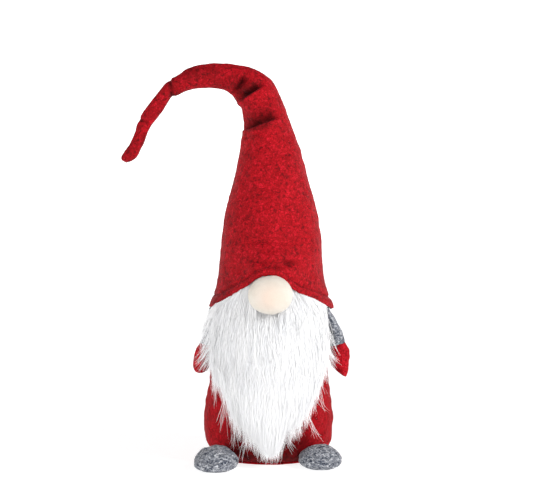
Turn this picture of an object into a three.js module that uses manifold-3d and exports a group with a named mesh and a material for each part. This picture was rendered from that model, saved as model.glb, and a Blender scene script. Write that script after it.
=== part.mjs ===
// Tomte gnome figurine: a stuffed felt body with a weighted foot, felt arms and
// feet, a long-pile beard, a round nose and a tall wired felt hat.
//
// Millimetres, +Z up. The origin is on the table under the middle of the body,
// and the gnome faces -Y, so its own left is +X.
//
// The hat's wire and its felt are each one strip on a real gnome. They are cut
// here at the three bends, so that each stretch is a rigid link. Every bend has a
// ball of stuffing round its pivot, with a slot in which the next wire swings.

import * as THREE from "three";
import { mergeVertices } from "three/addons/utils/BufferGeometryUtils.js";
import Module from "manifold-3d";

// ---------------------------------------------------------------- dimensions
const GAP = 0.3; // between pieces that touch
const FELT = 1.6; // thickness of the craft felt
const CLOTH = 0.9; // thickness of the thin cloths: nose jersey, sand pouch
const DEPTH = 0.92; // the body's depth as a share of its width

const BODY_TOP = 200;
const BASE_R = 45.5;
const BODY_PROFILE = [
  [44, FELT + GAP],
  [49, 4.2],
  [53, 8.5],
  [56, 15],
  [57.2, 24],
  [56.4, 38],
  [53.8, 54],
  [51.6, 72],
  [49.6, 92],
  [47.4, 112],
  [44.8, 132],
  [41.8, 152],
  [38.2, 168],
  [32, 182],
  [22, 192.5],
  [0, BODY_TOP],
]; // half width, height

const POUCH_R = 47;
const POUCH_BOTTOM = 4.2;
const POUCH_TOP = 30;

// the hat: its centre line in X and Z, and its radius by height up to the elbow
const ELBOW = [-12, 322];
const BEND_2 = [-85, 323.6];
const BEND_3 = [-109.3, 294.5];
const CONE_LINE = [
  [1.8, 125],
  [1.8, 150],
  [2.6, 164],
  [2.5, 184],
  [2.3, 202],
  [2.3, 220],
  [2.2, 237],
  [2.0, 253],
  [1.2, 268],
  [-0.4, 282],
  [-3.4, 298],
  [-7.0, 310],
  ELBOW,
];
const HAT_HALF_WIDTH = [
  [128, 57.5],
  [134, 53.8],
  [140, 51],
  [150, 48],
  [164, 46],
  [184, 44.5],
  [202, 42.2],
  [220, 38.6],
  [237, 34.3],
  [253, 30.8],
  [268, 26.7],
  [282, 23.4],
  [298, 20],
  [310, 18],
  [322, 16.6],
];
const ARCH_LINE = [
  ELBOW,
  [-23, 330.3],
  [-38.5, 334.2],
  [-49.7, 335.3],
  [-62.3, 334.8],
  [-72.2, 332.1],
  [-79, 328.2],
  BEND_2,
];
const DROP_LINE = [
  BEND_2,
  [-92, 315.7],
  [-99.5, 306.8],
  [-105.2, 300.2],
  BEND_3,
];
const TIP_LINE = [
  BEND_3,
  [-112.8, 284.4],
  [-116, 276],
  [-120.6, 268.3],
  [-123.6, 263.6],
];
const ELBOW_R = 16.6;
const BEND_2_R = 8.8;
const BEND_3_R = 5.9;
const TIP_R = 5.8;
// directions in the XZ plane, in degrees from +X, that each wire may swing through
const ELBOW_SWING = [48, 180];
const BEND_2_SWING = [160, 262];
const BEND_3_SWING = [200, 284];
const WIRE_R = 1.1;
const WIRE_BORE_R = 2;
const SLOT = 3.4;

// the brim's lower edge by distance from the middle, at the front
const BRIM_FRONT = [
  [0, 164.8],
  [5, 164.2],
  [10, 162.2],
  [15, 158.8],
  [20, 154.8],
  [27, 150.5],
  [35, 146],
  [43, 141.5],
  [50, 137],
  [57, 131.5],
];
const BRIM_BACK_Z = 136;
const BRIM_CORNER_Z = 131.5;
const HAT_REGULAR_Z = 190; // above this the hat's rings are level

const NOSE_AT = [1.5, -56.2, 147.2];
const NOSE_SEMI = [19.1, 14.4, 16.4];

const FOOT_PROFILE = [
  [0.72, FELT + GAP],
  [0.88, 3.0],
  [0.98, 5.6],
  [0.99, 8.4],
  [0.88, 12.8],
  [0.68, 16.2],
  [0.38, 18.6],
  [0, 19.4],
]; // share of the half width, height
const FEET = {
  left: { x: 43.6, y: -49, turn: 12, half: 18.1, long: 1.15 },
  right: { x: -44.3, y: -57, turn: -10, half: 19.3, long: 1.27 },
}; // half width, and length as a share of the width

const ARMS = {
  left: {
    side: 1,
    y: -6,
    tab: [[44.2, 146], [46.4, 140], [49.2, 134], [51, 131.6]],
    pivot: [51.6, 128],
    cuff: [60.3, 100.4],
    tip: [66.4, 72.2],
    cuffHalf: 7.3,
    palmHalf: 9,
  },
  right: {
    side: -1,
    y: -6,
    tab: [[43.6, 146], [45, 140], [47.8, 134], [49.3, 131.6]],
    pivot: [-50, 128],
    cuff: [-55.4, 100.2],
    tip: [-60.8, 73],
    cuffHalf: 6.3,
    palmHalf: 7.8,
  },
};

const BEARD_HINGE = [-43, 126]; // Y and Z of the line that the beard lifts about
const BEARD_OPEN = 47; // degrees between the hinged fur and the fixed fur
const BEARD_OUTLINE = [
  [-45, 127],
  [-45, 84],
  [-41, 66],
  [-36, 48],
  [-29, 31],
  [-20, 18],
  [-9, 3],
  [9, 3],
  [12, 22],
  [20, 27],
  [36, 29],
  [40, 45],
  [44, 62],
  [45, 84],
  [45, 127],
];
const BACKING_OUTLINE = [
  [-44, 125.7],
  [-44, 100],
  [-36, 76],
  [-22, 60],
  [0, 54],
  [24, 60],
  [38, 76],
  [44, 100],
  [44, 125.7],
];

// -------------------------------------------------------------------- colours
const RED = new THREE.MeshStandardMaterial({ color: 0xb01c28, roughness: 0.92, metalness: 0 });
const GREY = new THREE.MeshStandardMaterial({ color: 0x8f9096, roughness: 0.95, metalness: 0 });
const FUR = new THREE.MeshStandardMaterial({ color: 0xf2f2f2, roughness: 0.7, metalness: 0 });
const KNIT = new THREE.MeshStandardMaterial({ color: 0xe6e2da, roughness: 0.95, metalness: 0 });
const SKIN = new THREE.MeshStandardMaterial({ color: 0xf3e5d4, roughness: 0.8, metalness: 0 });
const FILL = new THREE.MeshStandardMaterial({ color: 0xf7f7f5, roughness: 1, metalness: 0 });
const SAND = new THREE.MeshStandardMaterial({ color: 0xc4ac82, roughness: 0.9, metalness: 0 });
const CARD = new THREE.MeshStandardMaterial({ color: 0xa98d66, roughness: 0.9, metalness: 0 });
const WIRE = new THREE.MeshStandardMaterial({ color: 0x8d8f92, roughness: 0.4, metalness: 0.9 });

// -------------------------------------------------------------------- helpers
const wasm = await Module();
wasm.setup();
const rad = THREE.MathUtils.degToRad;

function table(rows, at) {
  if (at <= rows[0][0]) return rows[0][1];
  for (let i = 1; i < rows.length; i++)
    if (at <= rows[i][0]) {
      const [a, va] = rows[i - 1],
        [b, vb] = rows[i];
      return va + ((vb - va) * (at - a)) / (b - a);
    }
  return rows[rows.length - 1][1];
}

// A closed geometry as a solid, whichever way its faces were wound.
function solid(geometry) {
  const g = geometry.clone();
  g.deleteAttribute("normal");
  g.deleteAttribute("uv");
  const m = mergeVertices(g, 1e-4);
  const from = m.index.array;
  const tri = [];
  for (let i = 0; i < from.length; i += 3) {
    const [a, b, c] = [from[i], from[i + 1], from[i + 2]];
    if (a !== b && b !== c && c !== a) tri.push(a, b, c);
  }
  const make = (t) =>
    new wasm.Manifold(
      new wasm.Mesh({
        numProp: 3,
        vertProperties: new Float32Array(m.attributes.position.array),
        triVerts: new Uint32Array(t),
      }),
    );
  const made = make(tri);
  if (made.volume() >= 0) return made;
  for (let i = 0; i < tri.length; i += 3) [tri[i + 1], tri[i + 2]] = [tri[i + 2], tri[i + 1]];
  return make(tri);
}

function geometryOf(made) {
  const m = made.getMesh();
  const n = m.numProp;
  const v = new Float32Array(m.numVert * 3);
  for (let i = 0; i < m.numVert; i++) v.set(m.vertProperties.subarray(i * n, i * n + 3), i * 3);
  return new THREE.BufferGeometry()
    .setAttribute("position", new THREE.BufferAttribute(v, 3))
    .setIndex(new THREE.BufferAttribute(new Uint32Array(m.triVerts), 1));
}

// A turned shape about Z. The profile starts and ends on the axis, or closes on itself.
function turned(profile, sides) {
  return new THREE.LatheGeometry(
    profile.map(([r, z]) => new THREE.Vector2(r, z)),
    sides,
  ).rotateX(Math.PI / 2);
}

function warp(geometry, f) {
  const p = geometry.attributes.position;
  const v = new THREE.Vector3();
  for (let i = 0; i < p.count; i++) {
    v.fromBufferAttribute(p, i);
    f(v);
    p.setXYZ(i, v.x, v.y, v.z);
  }
  return geometry;
}

// The profile moved outwards by d (inwards if negative), kept at the height of its first point and on the axis at its last.
function offset(profile, d) {
  return profile.map(([r, z], i) => {
    if (i === 0) return [r + d, z];
    if (i === profile.length - 1) return [r > 0 ? r + d : 0, z + (r > 0 ? 0 : d)];
    const [ra, za] = profile[i - 1];
    const [rb, zb] = profile[i + 1];
    const l = Math.hypot(rb - ra, zb - za);
    return [Math.max(r + (d * (zb - za)) / l, 0.01), z - (d * (rb - ra)) / l];
  });
}

const filled = (profile) => [[0, profile[0][1]], ...profile];
const hollow = (profile, t) => [...profile.slice().reverse(), ...offset(profile, -t)];

// A shape drawn in X and Z, pulled out along Y from y0 to y1.
function slab(points, y0, y1) {
  const shape = new THREE.Shape(points.map(([x, z]) => new THREE.Vector2(x, z)));
  return new THREE.ExtrudeGeometry(shape, { depth: y1 - y0, bevelEnabled: false, steps: 1 })
    .rotateX(Math.PI / 2)
    .translate(0, y1, 0);
}

// The same in Y and Z, pulled out along X.
function slabX(points, x0, x1) {
  const shape = new THREE.Shape(points.map(([y, z]) => new THREE.Vector2(y, z)));
  return new THREE.ExtrudeGeometry(shape, { depth: x1 - x0, bevelEnabled: false, steps: 1 })
    .rotateX(Math.PI / 2)
    .rotateZ(Math.PI / 2)
    .translate(x0, 0, 0);
}

// A line in the XZ plane at some Y, which can be followed past both ends.
class Line {
  constructor(points, y = 0) {
    this.curve = new THREE.CatmullRomCurve3(
      points.map(([x, z]) => new THREE.Vector3(x, y, z)),
      false,
      "centripetal",
    );
    this.curve.arcLengthDivisions = 400;
    this.length = this.curve.getLength();
  }
  at(s) {
    const u = THREE.MathUtils.clamp(s / this.length, 0, 1);
    const p = this.curve.getPointAt(u);
    const t = this.curve.getTangentAt(u);
    p.addScaledVector(t, s - u * this.length);
    return { p, t, side: new THREE.Vector3(t.z, 0, -t.x) };
  }
}

// Moves a shape turned about Z onto a line: its height becomes the distance along the line.
function along(geometry, line) {
  return warp(geometry, (v) => {
    const { p, side } = line.at(v.z);
    const [a, b] = [v.x, v.y];
    v.copy(p).addScaledVector(side, a);
    v.y += b;
  });
}

// The half ball that ends a tube of radius r at distance s along its line.
function dome(r, s, steps = 4) {
  return Array.from({ length: steps }, (_, i) => {
    const a = ((i + 1) / steps) * (Math.PI / 2);
    return [i === steps - 1 ? 0 : r * Math.cos(a), s + r * Math.sin(a)];
  });
}

// A solid turned about a bend, clockwise as seen from the front.
const swung = (made, [px, pz], degrees) =>
  made.translate([-px, 0, -pz]).rotate([0, degrees, 0]).translate([px, 0, pz]);

// The room in which the next wire swings about a bend.
function slot([px, pz], [from, to], reach) {
  const points = [];
  const back = rad((from + to) / 2 + 180);
  points.push([px + 2.2 * Math.cos(back), pz + 2.2 * Math.sin(back)]);
  for (let i = 0; i <= 8; i++) {
    const a = rad(from + ((to - from) * i) / 8);
    points.push([px + reach * Math.cos(a), pz + reach * Math.sin(a)]);
  }
  return solid(slab(points, -SLOT / 2, SLOT / 2));
}

const parts = new THREE.Group();
function add(name, shape, material) {
  const geometry = shape.isBufferGeometry ? geometryOf(solid(shape)) : geometryOf(shape);
  geometry.computeVertexNormals();
  const mesh = new THREE.Mesh(geometry, material);
  mesh.name = name;
  parts.add(mesh);
  return mesh;
}

// ----------------------------------------------------------------------- body
const BODY_SIDES = 24;
const squash = (g) => g.scale(1, DEPTH, 1);
const bodyEnvelope = (d, sides = BODY_SIDES) =>
  solid(squash(turned(filled([[BASE_R + d, -2], ...offset(BODY_PROFILE, d).slice(1)]), sides)));

add("body_shell", squash(turned(hollow(BODY_PROFILE, FELT), BODY_SIDES)), RED);
add(
  "base_disc",
  squash(turned([[0, 0], [BASE_R, 0], [BASE_R, FELT], [0, FELT]], BODY_SIDES)),
  RED,
);
add(
  "base_stiffener",
  squash(turned([[0, 2], [41.6, 2], [41.6, 3.6], [0, 3.6]], BODY_SIDES)),
  CARD,
);
const POUCH_PROFILE = [
  [40, POUCH_BOTTOM],
  [POUCH_R, 9],
  [POUCH_R + 2.2, 17],
  [POUCH_R, 24],
  [38, 28.6],
  [14, POUCH_TOP],
  [4, POUCH_TOP],
];
// the pouch is gathered at its neck, where it is open
add(
  "ballast_pouch",
  squash(
    turned(
      [
        [0, POUCH_BOTTOM],
        ...POUCH_PROFILE,
        [4, POUCH_TOP - CLOTH],
        ...offset(POUCH_PROFILE, -CLOTH).slice(1, 5).reverse(),
        [39, POUCH_BOTTOM + CLOTH],
        [0, POUCH_BOTTOM + CLOTH],
      ],
      20,
    ),
  ),
  KNIT,
);
add(
  "ballast_sand",
  squash(
    turned(
      [
        [0, POUCH_BOTTOM + CLOTH + GAP],
        [38, POUCH_BOTTOM + CLOTH + GAP],
        [POUCH_R - 1.6, 10],
        [POUCH_R + 0.4, 17],
        [POUCH_R - 1.6, 23],
        [36, 26.8],
        [0, 27.6],
      ],
      20,
    ),
  ),
  SAND,
);
const inside = offset(BODY_PROFILE, -(FELT + GAP));
add(
  "body_stuffing",
  squash(turned([[0, 31.4], [table(BODY_PROFILE.slice(1).map(([r, z]) => [z, r]), 31.4) - 2.3, 31.4], ...inside.slice(5)], BODY_SIDES)),
  FILL,
);

// ----------------------------------------------------------------------- feet
for (const [name, { x, y, turn, half, long }] of Object.entries(FEET)) {
  const place = (g) => g.scale(1, long, 1).rotateZ(rad(turn)).translate(x, y, 0);
  const profile = FOOT_PROFILE.map(([r, z]) => [r * half, z]);
  const room = bodyEnvelope(GAP + 0.1);
  add(name + "_foot_upper", solid(place(turned(hollow(profile, FELT), 18))).subtract(room), GREY);
  add(
    name + "_foot_stuffing",
    solid(place(turned(filled(offset(profile, -(FELT + GAP + 0.35))), 16))).subtract(
      bodyEnvelope(2 * GAP + 0.2),
    ),
    FILL,
  );
  const sole = 0.74 * half;
  add(
    name + "_foot_sole",
    solid(place(turned([[0, 0], [sole, 0], [sole, FELT], [0, FELT]], 18))).subtract(room),
    GREY,
  );
}

// ----------------------------------------------------------------------- arms
for (const [name, a] of Object.entries(ARMS)) {
  const { side, y, pivot, cuff, tip, cuffHalf, palmHalf } = a;
  // the flat top of the sleeve, stitched to the body under the brim
  const t = 0.6;
  add(
    name + "_sleeve_tab",
    solid(
      slab(
        [
          ...a.tab.map(([x, z]) => [side * (x - t), z]),
          ...a.tab.map(([x, z]) => [side * (x + t), z]).reverse(),
        ],
        y - 4.5,
        y + 4.5,
      ),
    ).subtract(bodyEnvelope(GAP)),
    GREY,
  );
  const L = Math.hypot(cuff[0] - pivot[0], cuff[1] - pivot[1]);
  const arm = new Line(
    [pivot, [(pivot[0] + cuff[0]) / 2, (pivot[1] + cuff[1]) / 2], cuff, tip],
    y,
  );
  const M = arm.length - L;
  const half = [
    [-2, 1.4],
    [0, 1.9],
    [5, 4],
    [11, cuffHalf - 0.8],
    [L, cuffHalf],
  ];
  const deep = [
    [-2, 5.6],
    [0, 6.6],
    [5, 7.2],
    [L, 7],
  ];
  // a turned shape of radius 1 outside and 0.5 inside, given its true section at each distance
  const shaped = (g, halfAt, deepAt, wall) =>
    warp(g, (v) => {
      const r = Math.hypot(v.x, v.y);
      if (r < 0.01) return;
      const inner = r < 0.75 ? wall : 0;
      v.x *= (table(halfAt, v.z) - inner) / r;
      v.y *= (table(deepAt, v.z) - inner) / r;
    });
  const outer = [-1.6, 0, 5, 11, L - GAP / 2].map((s) => [1, s]);
  const inner = [L - GAP / 2, 11, 6.5].map((s) => [0.5, s]);
  add(
    name + "_sleeve",
    along(shaped(turned([[0, -2], ...outer, ...inner, [0, 5.6]], 14), half, deep, 1.4), arm),
    GREY,
  );
  add(
    name + "_sleeve_stuffing",
    along(
      shaped(
        turned([[0, 6.6], [0.5, 7.4], [0.5, 11], [0.5, L - 0.6], [0, L - 0.6]], 12),
        half,
        deep,
        1.75,
      ),
      arm,
    ),
    FILL,
  );
  const palm = [
    [0, cuffHalf + 0.3],
    [5, palmHalf - 0.4],
    [11, palmHalf],
    [17, palmHalf - 0.6],
    [M - 6, palmHalf * 0.72],
    [M - 2, palmHalf * 0.4],
  ].map(([s, w]) => [L + s, w]);
  const thick = [
    [0, 7.2],
    [11, 7],
    [17, 6.4],
    [M - 6, 5],
    [M - 2, 2.8],
  ].map(([s, w]) => [L + s, w]);
  const rings = [GAP / 2, 5, 11, 17, M - 6, M - 2].map((s) => L + s);
  add(
    name + "_mitten",
    along(
      shaped(
        turned(
          [
            [0, L + M],
            ...rings.map((s) => [1, s]).reverse(),
            ...rings.slice(0, 5).map((s) => [0.5, s]),
            [0, L + M - 3.4],
          ],
          14,
        ),
        palm,
        thick,
        1.5,
      ),
      arm,
    ),
    RED,
  );
  const within = [0.6, 5, 11, 17, M - 7].map((s) => [0.5, L + s]);
  add(
    name + "_mitten_stuffing",
    along(
      shaped(turned([[0, L + 0.6], ...within, [0, L + M - 4.4]], 12), palm, thick, 1.9),
      arm,
    ),
    FILL,
  );
}

// ----------------------------------------------------------------------- nose
const ball = (share, sides = 18) => {
  const steps = 8;
  return Array.from({ length: steps + 1 }, (_, i) => {
    const a = (i / steps - 0.5) * Math.PI;
    return [i % steps ? share * Math.cos(a) : 0, share * Math.sin(a)];
  });
};
// turned about Z, then laid so that its axis points forward and its gathered end back
const laid = (profile, sides, sx = 1) =>
  warp(turned(profile, sides).rotateX(Math.PI / 2), (v) => {
    v.set(v.x * NOSE_SEMI[0], v.y * NOSE_SEMI[1], v.z * NOSE_SEMI[2]);
  }).translate(...NOSE_AT);
const inShare = 1 - CLOTH / 15;
const KNOT_R = 0.16;
const noseOuter = ball(1).filter(([r], i) => i > 0); // from near the back pole to the front pole
add(
  "nose_cover",
  laid(
    [
      ...noseOuter.slice().reverse(),
      [KNOT_R, -Math.cos(Math.asin(KNOT_R))],
      [KNOT_R, -inShare * Math.cos(Math.asin(KNOT_R / inShare))],
      ...noseOuter.map(([r, z]) => [r * inShare, z * inShare]),
    ],
    18,
  ),
  SKIN,
);
add("nose_stuffing", laid(ball(inShare - 0.025), 16), FILL);
add(
  "nose_gather_knot",
  laid([[0, -0.995], [KNOT_R - 0.03, -0.995], [KNOT_R - 0.03, -0.955], [0, -0.955]], 10),
  KNIT,
);
const noseRoom = solid(
  laid(
    ball(1).map(([r, z]) => [r * 1.035, z * 1.035]),
    18,
  ),
);

// ------------------------------------------------------------------------ hat
const cone = new Line(CONE_LINE);
const coneAt = (z) => {
  // the distance along the hat's line at which it is at height z
  let lo = 0,
    hi = cone.length;
  for (let i = 0; i < 40; i++) {
    const mid = (lo + hi) / 2;
    if (cone.at(mid).p.z < z) lo = mid;
    else hi = mid;
  }
  return (lo + hi) / 2;
};
const coneRings = [184, 202, 220, 237, 253, 268, 282, 298, 310, 322];
const HAT_SIDES = 26;
const brimZ = (x, y) => {
  const front = table(BRIM_FRONT, Math.abs(x));
  if (y <= 0) return front;
  return BRIM_CORNER_Z + (BRIM_BACK_Z - BRIM_CORNER_Z) * Math.min(1, y / 40);
};
// The lower rings are counted 0 to 1 from the brim's edge to the first level ring.
const LOWER = [0, 0.16, 0.36, 0.62, 0.84];
function hatCone(d, fill) {
  const code = [
    ...LOWER.map((k) => [1, k]),
    ...coneRings.map((z) => [1, z]),
  ];
  const start = cone.length;
  const domes = (r) => dome(r, 1000).map(([a, b]) => [a / 100, b]); // flagged by its height
  const outer = [...code, ...domes(ELBOW_R + d)];
  const inner = [
    ...LOWER.map((k) => [0.5, k]),
    ...coneRings.map((z) => [0.5, z]),
    ...domes(ELBOW_R + d - FELT),
  ];
  const profile = fill ? [[0, -1], ...outer] : [...outer.slice().reverse(), ...inner];
  return warp(turned(profile, HAT_SIDES), (v) => {
    const r = Math.hypot(v.x, v.y);
    const [cx, cy] = r > 1e-6 ? [v.x / r, v.y / r] : [0, 0];
    if (v.z > 900) {
      const { p, side } = cone.at(start + (v.z - 1000));
      v.copy(p).addScaledVector(side, cx * r * 100);
      v.y += cy * r * 100;
      return;
    }
    if (v.z === -1) {
      v.set(0, 0, 125);
      return;
    }
    const t = r < 0.75 ? FELT - d : -d;
    if (v.z > 100) {
      const s = coneAt(v.z);
      const { p, side } = cone.at(s);
      const w = table(HAT_HALF_WIDTH, v.z);
      const k = THREE.MathUtils.smoothstep(v.z, 184, 260);
      const b = w * (0.95 + 0.05 * k);
      v.copy(p).addScaledVector(side, cx * (w - t));
      v.y += cy * (b - t);
      return;
    }
    // between the edge of the brim and the first level ring
    const k = v.z;
    const guess = 52 * cx;
    const low = brimZ(guess, cy) - (fill ? 0.8 : 0);
    const z = low + k * (184 - low);
    const w = table(HAT_HALF_WIDTH, z);
    const front = cy < 0 ? Math.exp(-((Math.asin(Math.min(1, Math.abs(cx))) / 0.62) ** 2)) : 0;
    const b = 0.95 * w + 9 * front * THREE.MathUtils.clamp((184 - z) / 20, 0, 1);
    const { p } = cone.at(coneAt(z));
    v.set(p.x + cx * (w - t), cy * (b - t), z);
  });
}
const elbowSlot = slot(ELBOW, ELBOW_SWING, ELBOW_R + 3);
add("hat_cone_felt", solid(hatCone(0, false)).subtract(elbowSlot), RED);
const hatRoom = solid(hatCone(0.45, true));
const elbowRoom = hatRoom.intersect(
  solid(new THREE.BoxGeometry(90, 90, 90)).translate([ELBOW[0], 0, ELBOW[1]]),
);

const STUFF_FROM = 206;
const stuffRings = [STUFF_FROM, 220, 237, 253, 268, 282, 298, 310, 322];
const tucked = FELT + GAP + 0.3;
const coneStuffing = warp(
  turned(
    [
      [WIRE_BORE_R, STUFF_FROM],
      ...stuffRings.map((z) => [table(HAT_HALF_WIDTH, z) * 0.95 - tucked, z]),
      ...dome(ELBOW_R - tucked, 1000).slice(0, -1),
      [WIRE_BORE_R, 1000 + ELBOW_R - tucked - 0.1],
      ...stuffRings.map((z) => [WIRE_BORE_R, z]).reverse(),
    ],
    18,
  ),
  (v) => {
    const s = v.z > 900 ? cone.length + (v.z - 1000) : coneAt(v.z);
    const { p, side } = cone.at(s);
    const [a, b] = [v.x, v.y];
    v.copy(p).addScaledVector(side, a);
    v.y += b;
  },
);
add("hat_cone_stuffing", solid(coneStuffing).subtract(elbowSlot), FILL);

// the three bent stretches past the elbow
const arch = new Line(ARCH_LINE);
const drop = new Line(DROP_LINE);
const tip = new Line(TIP_LINE);
const bend2Slot = slot(BEND_2, BEND_2_SWING, BEND_2_R + 3);
const bend3Slot = slot(BEND_3, BEND_3_SWING, BEND_3_R + 3);

// A stretch starts as a cup round the ball before it, cut back to clear the
// stretch before it at both ends of the bend's range. Returns its own envelope.
function stretch({ name, line, radii, endR, slotOut, sides, bend, range, before, fillFrom }) {
  const L = line.length;
  const steps = radii.map(([s]) => s);
  const outer = (d, from) => [
    ...steps.filter((s) => s >= from).map((s) => [table(radii, s) + d, s]),
    ...dome(endR + d, L, 3),
  ];
  const cut = (g, blocks) => {
    let made = solid(g);
    for (const block of blocks) made = made.subtract(block);
    if (slotOut) made = made.subtract(slotOut);
    return made.decompose().sort((a, b) => b.volume() - a.volume())[0];
  };
  add(
    "hat_" + name + "_felt",
    cut(along(turned([...outer(0, 0).reverse(), ...outer(-FELT, 0)], sides), line), [
      before,
      ...range.map((degrees) => swung(before, bend, -degrees)),
    ]),
    RED,
  );
  const fill = outer(-tucked, fillFrom).filter(([r]) => r > WIRE_BORE_R + 0.5);
  const bore = fill.map(([, s]) => [WIRE_BORE_R, s]);
  add(
    "hat_" + name + "_stuffing",
    cut(
      along(
        turned(
          [...fill, ...bore.reverse(), fill[0]],
          Math.min(sides, 12),
        ),
        line,
      ),
      [],
    ),
    FILL,
  );
  return solid(along(turned([[0, 0], ...outer(0.45, 0)], sides), line));
}
const archRoom = stretch({
  name: "arch",
  line: arch,
  radii: [
    [0, 15.4],
    [10, 15],
    [19, 13.6],
    [28, 11.9],
    [40, 10.9],
    [53, 10],
    [64, 9.3],
    [arch.length, BEND_2_R],
  ],
  endR: BEND_2_R,
  slotOut: bend2Slot,
  sides: 14,
  bend: ELBOW,
  range: [-26, 86],
  before: elbowRoom,
  fillFrom: 19,
});
const dropRoom = stretch({
  name: "drop",
  line: drop,
  radii: [
    [0, 8.2],
    [10.2, 7.4],
    [16, 7.1],
    [25, 7.2],
    [31, 6.6],
    [drop.length, BEND_3_R],
  ],
  endR: BEND_3_R,
  slotOut: bend3Slot,
  sides: 12,
  bend: BEND_2,
  range: [-26, 61],
  before: archRoom,
  fillFrom: 10.2,
});
stretch({
  name: "tip",
  line: tip,
  radii: [
    [0, 5.5],
    [6.9, 5.2],
    [13, 5],
    [20, 5.3],
    [28, 5.7],
    [tip.length, TIP_R],
  ],
  endR: TIP_R,
  slotOut: null,
  sides: 12,
  bend: BEND_3,
  range: [-21, 46],
  before: dropRoom,
  fillFrom: 6.9,
});

// the wire: a round end at each bend, and the next length starting just past it
function wire(name, line, from, to, every, roundEnd, endR = WIRE_R) {
  const n = Math.max(2, Math.round((to - from) / every));
  const steps = Array.from({ length: n + 1 }, (_, i) => from + ((to - from) * i) / n);
  const end = roundEnd
    ? [
        [endR, to],
        [endR * 0.7, to + endR * 0.7],
        [0, to + endR],
      ]
    : [[0, to]];
  add(
    "hat_wire_" + name,
    along(turned([[0, from], ...steps.map((s) => [WIRE_R, s]), ...end], 8), line),
    WIRE,
  );
}
const clear = WIRE_R + 0.35;
wire("cone", cone, coneAt(STUFF_FROM + 2), cone.length, 14, true);
wire("arch", arch, clear, arch.length, 9, true);
wire("drop", drop, clear, drop.length, 8, true);
wire("tip", tip, clear, tip.length - 1, 7, true);

// ---------------------------------------------------------------------- beard
const clampZ = (rows, z) => table(rows, z);
const bodyAt = BODY_PROFILE.map(([r, z]) => [z, r]);
// a skin round the body whose surface is side mm out at the sides and front mm out at the front
function skin(sideBy, frontBy, zs, sides = 32) {
  const profile = [[0, zs[0]], ...zs.map((z) => [1, z]), [0, zs[zs.length - 1]]];
  return solid(
    warp(turned(profile, sides), (v) => {
      if (Math.hypot(v.x, v.y) < 0.01) return;
      const r = clampZ(bodyAt, v.z);
      v.x *= r + clampZ(sideBy, v.z);
      v.y *= r * DEPTH + clampZ(frontBy, v.z);
    }),
  );
}
const zs = [-4, 3, 10, 24, 45, 70, 100, 126, 140, 152, 162];
const flat = (d) => [[-4, d]];
const pileOut = skin(
  [
    [3, 5],
    [24, 8],
    [45, 10],
    [126, 10],
    [150, 8],
  ],
  [
    [3, 9],
    [10, 10.5],
    [24, 12],
    [45, 15],
    [70, 17.5],
    [100, 17.5],
    [126, 16],
    [150, 12],
  ],
  zs,
);
const under = (d) => skin(flat(d), flat(d), zs);
const [hy, hz] = BEARD_HINGE;
const hinged = solid(
  slabX(
    [
      [hy + 46, hz - 0.5],
      [hy, hz - 0.5],
      [hy - 60, hz - 0.5 - 60 * Math.tan(rad(BEARD_OPEN))],
      [hy - 60, -3],
      [hy + 46, -3],
    ],
    -70,
    70,
  ),
);
const sheet = (outline) => solid(slab(outline, -90, -15));
add(
  "beard_backing",
  under(1.7).intersect(sheet(BACKING_OUTLINE)).intersect(hinged).subtract(under(0.5)),
  KNIT,
);
add(
  "beard_pile",
  pileOut.intersect(sheet(BEARD_OUTLINE)).intersect(hinged).subtract(under(2.1)),
  FUR,
);
const topBacking = [
  [-44, hz + 0.6],
  [44, hz + 0.6],
  [44, 158],
  [-44, 158],
];
const underBrim = BRIM_FRONT.filter(([x]) => x < 44).map(([x, z]) => [x, z - 1.2]);
const topBand = [
  [-45, hz + 0.6],
  [45, hz + 0.6],
  [45, 139.5],
  ...underBrim.slice(1).reverse(),
  ...underBrim.map(([x, z]) => [-x, z]),
  [-45, 139.5],
];
add(
  "beard_top_backing",
  under(1.7).intersect(sheet(topBacking)).subtract(under(0.5)),
  KNIT,
);
add(
  "beard_top_pile",
  pileOut.intersect(sheet(topBand)).subtract(under(2.1)).subtract(hatRoom).subtract(noseRoom),
  FUR,
);

export default parts;
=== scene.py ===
"""The looks of a stuffed felt tomte gnome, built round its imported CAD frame.

Lengths in the tables are millimetres in the row frame: +Z up, the gnome faces -Y,
and +X is its own left. Everything made from them is in metres.
"""

import math

import bmesh
import bpy
import numpy as np
import mathutils
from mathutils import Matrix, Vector


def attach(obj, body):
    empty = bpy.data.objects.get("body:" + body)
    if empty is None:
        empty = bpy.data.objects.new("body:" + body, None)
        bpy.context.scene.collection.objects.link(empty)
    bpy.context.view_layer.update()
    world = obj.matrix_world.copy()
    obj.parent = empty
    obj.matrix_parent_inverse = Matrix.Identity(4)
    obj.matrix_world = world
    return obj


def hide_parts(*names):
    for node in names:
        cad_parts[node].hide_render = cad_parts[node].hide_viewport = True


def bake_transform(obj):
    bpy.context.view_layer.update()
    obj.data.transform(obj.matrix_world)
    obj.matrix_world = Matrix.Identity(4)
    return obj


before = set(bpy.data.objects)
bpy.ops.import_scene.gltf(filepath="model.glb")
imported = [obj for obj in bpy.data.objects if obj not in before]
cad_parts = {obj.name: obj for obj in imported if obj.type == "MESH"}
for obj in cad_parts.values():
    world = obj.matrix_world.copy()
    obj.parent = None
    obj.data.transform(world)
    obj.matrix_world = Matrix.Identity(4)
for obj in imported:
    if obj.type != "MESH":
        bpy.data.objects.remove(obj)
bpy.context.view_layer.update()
MM = 0.001
FELT = 1.6
DEPTH = 0.92

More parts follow.
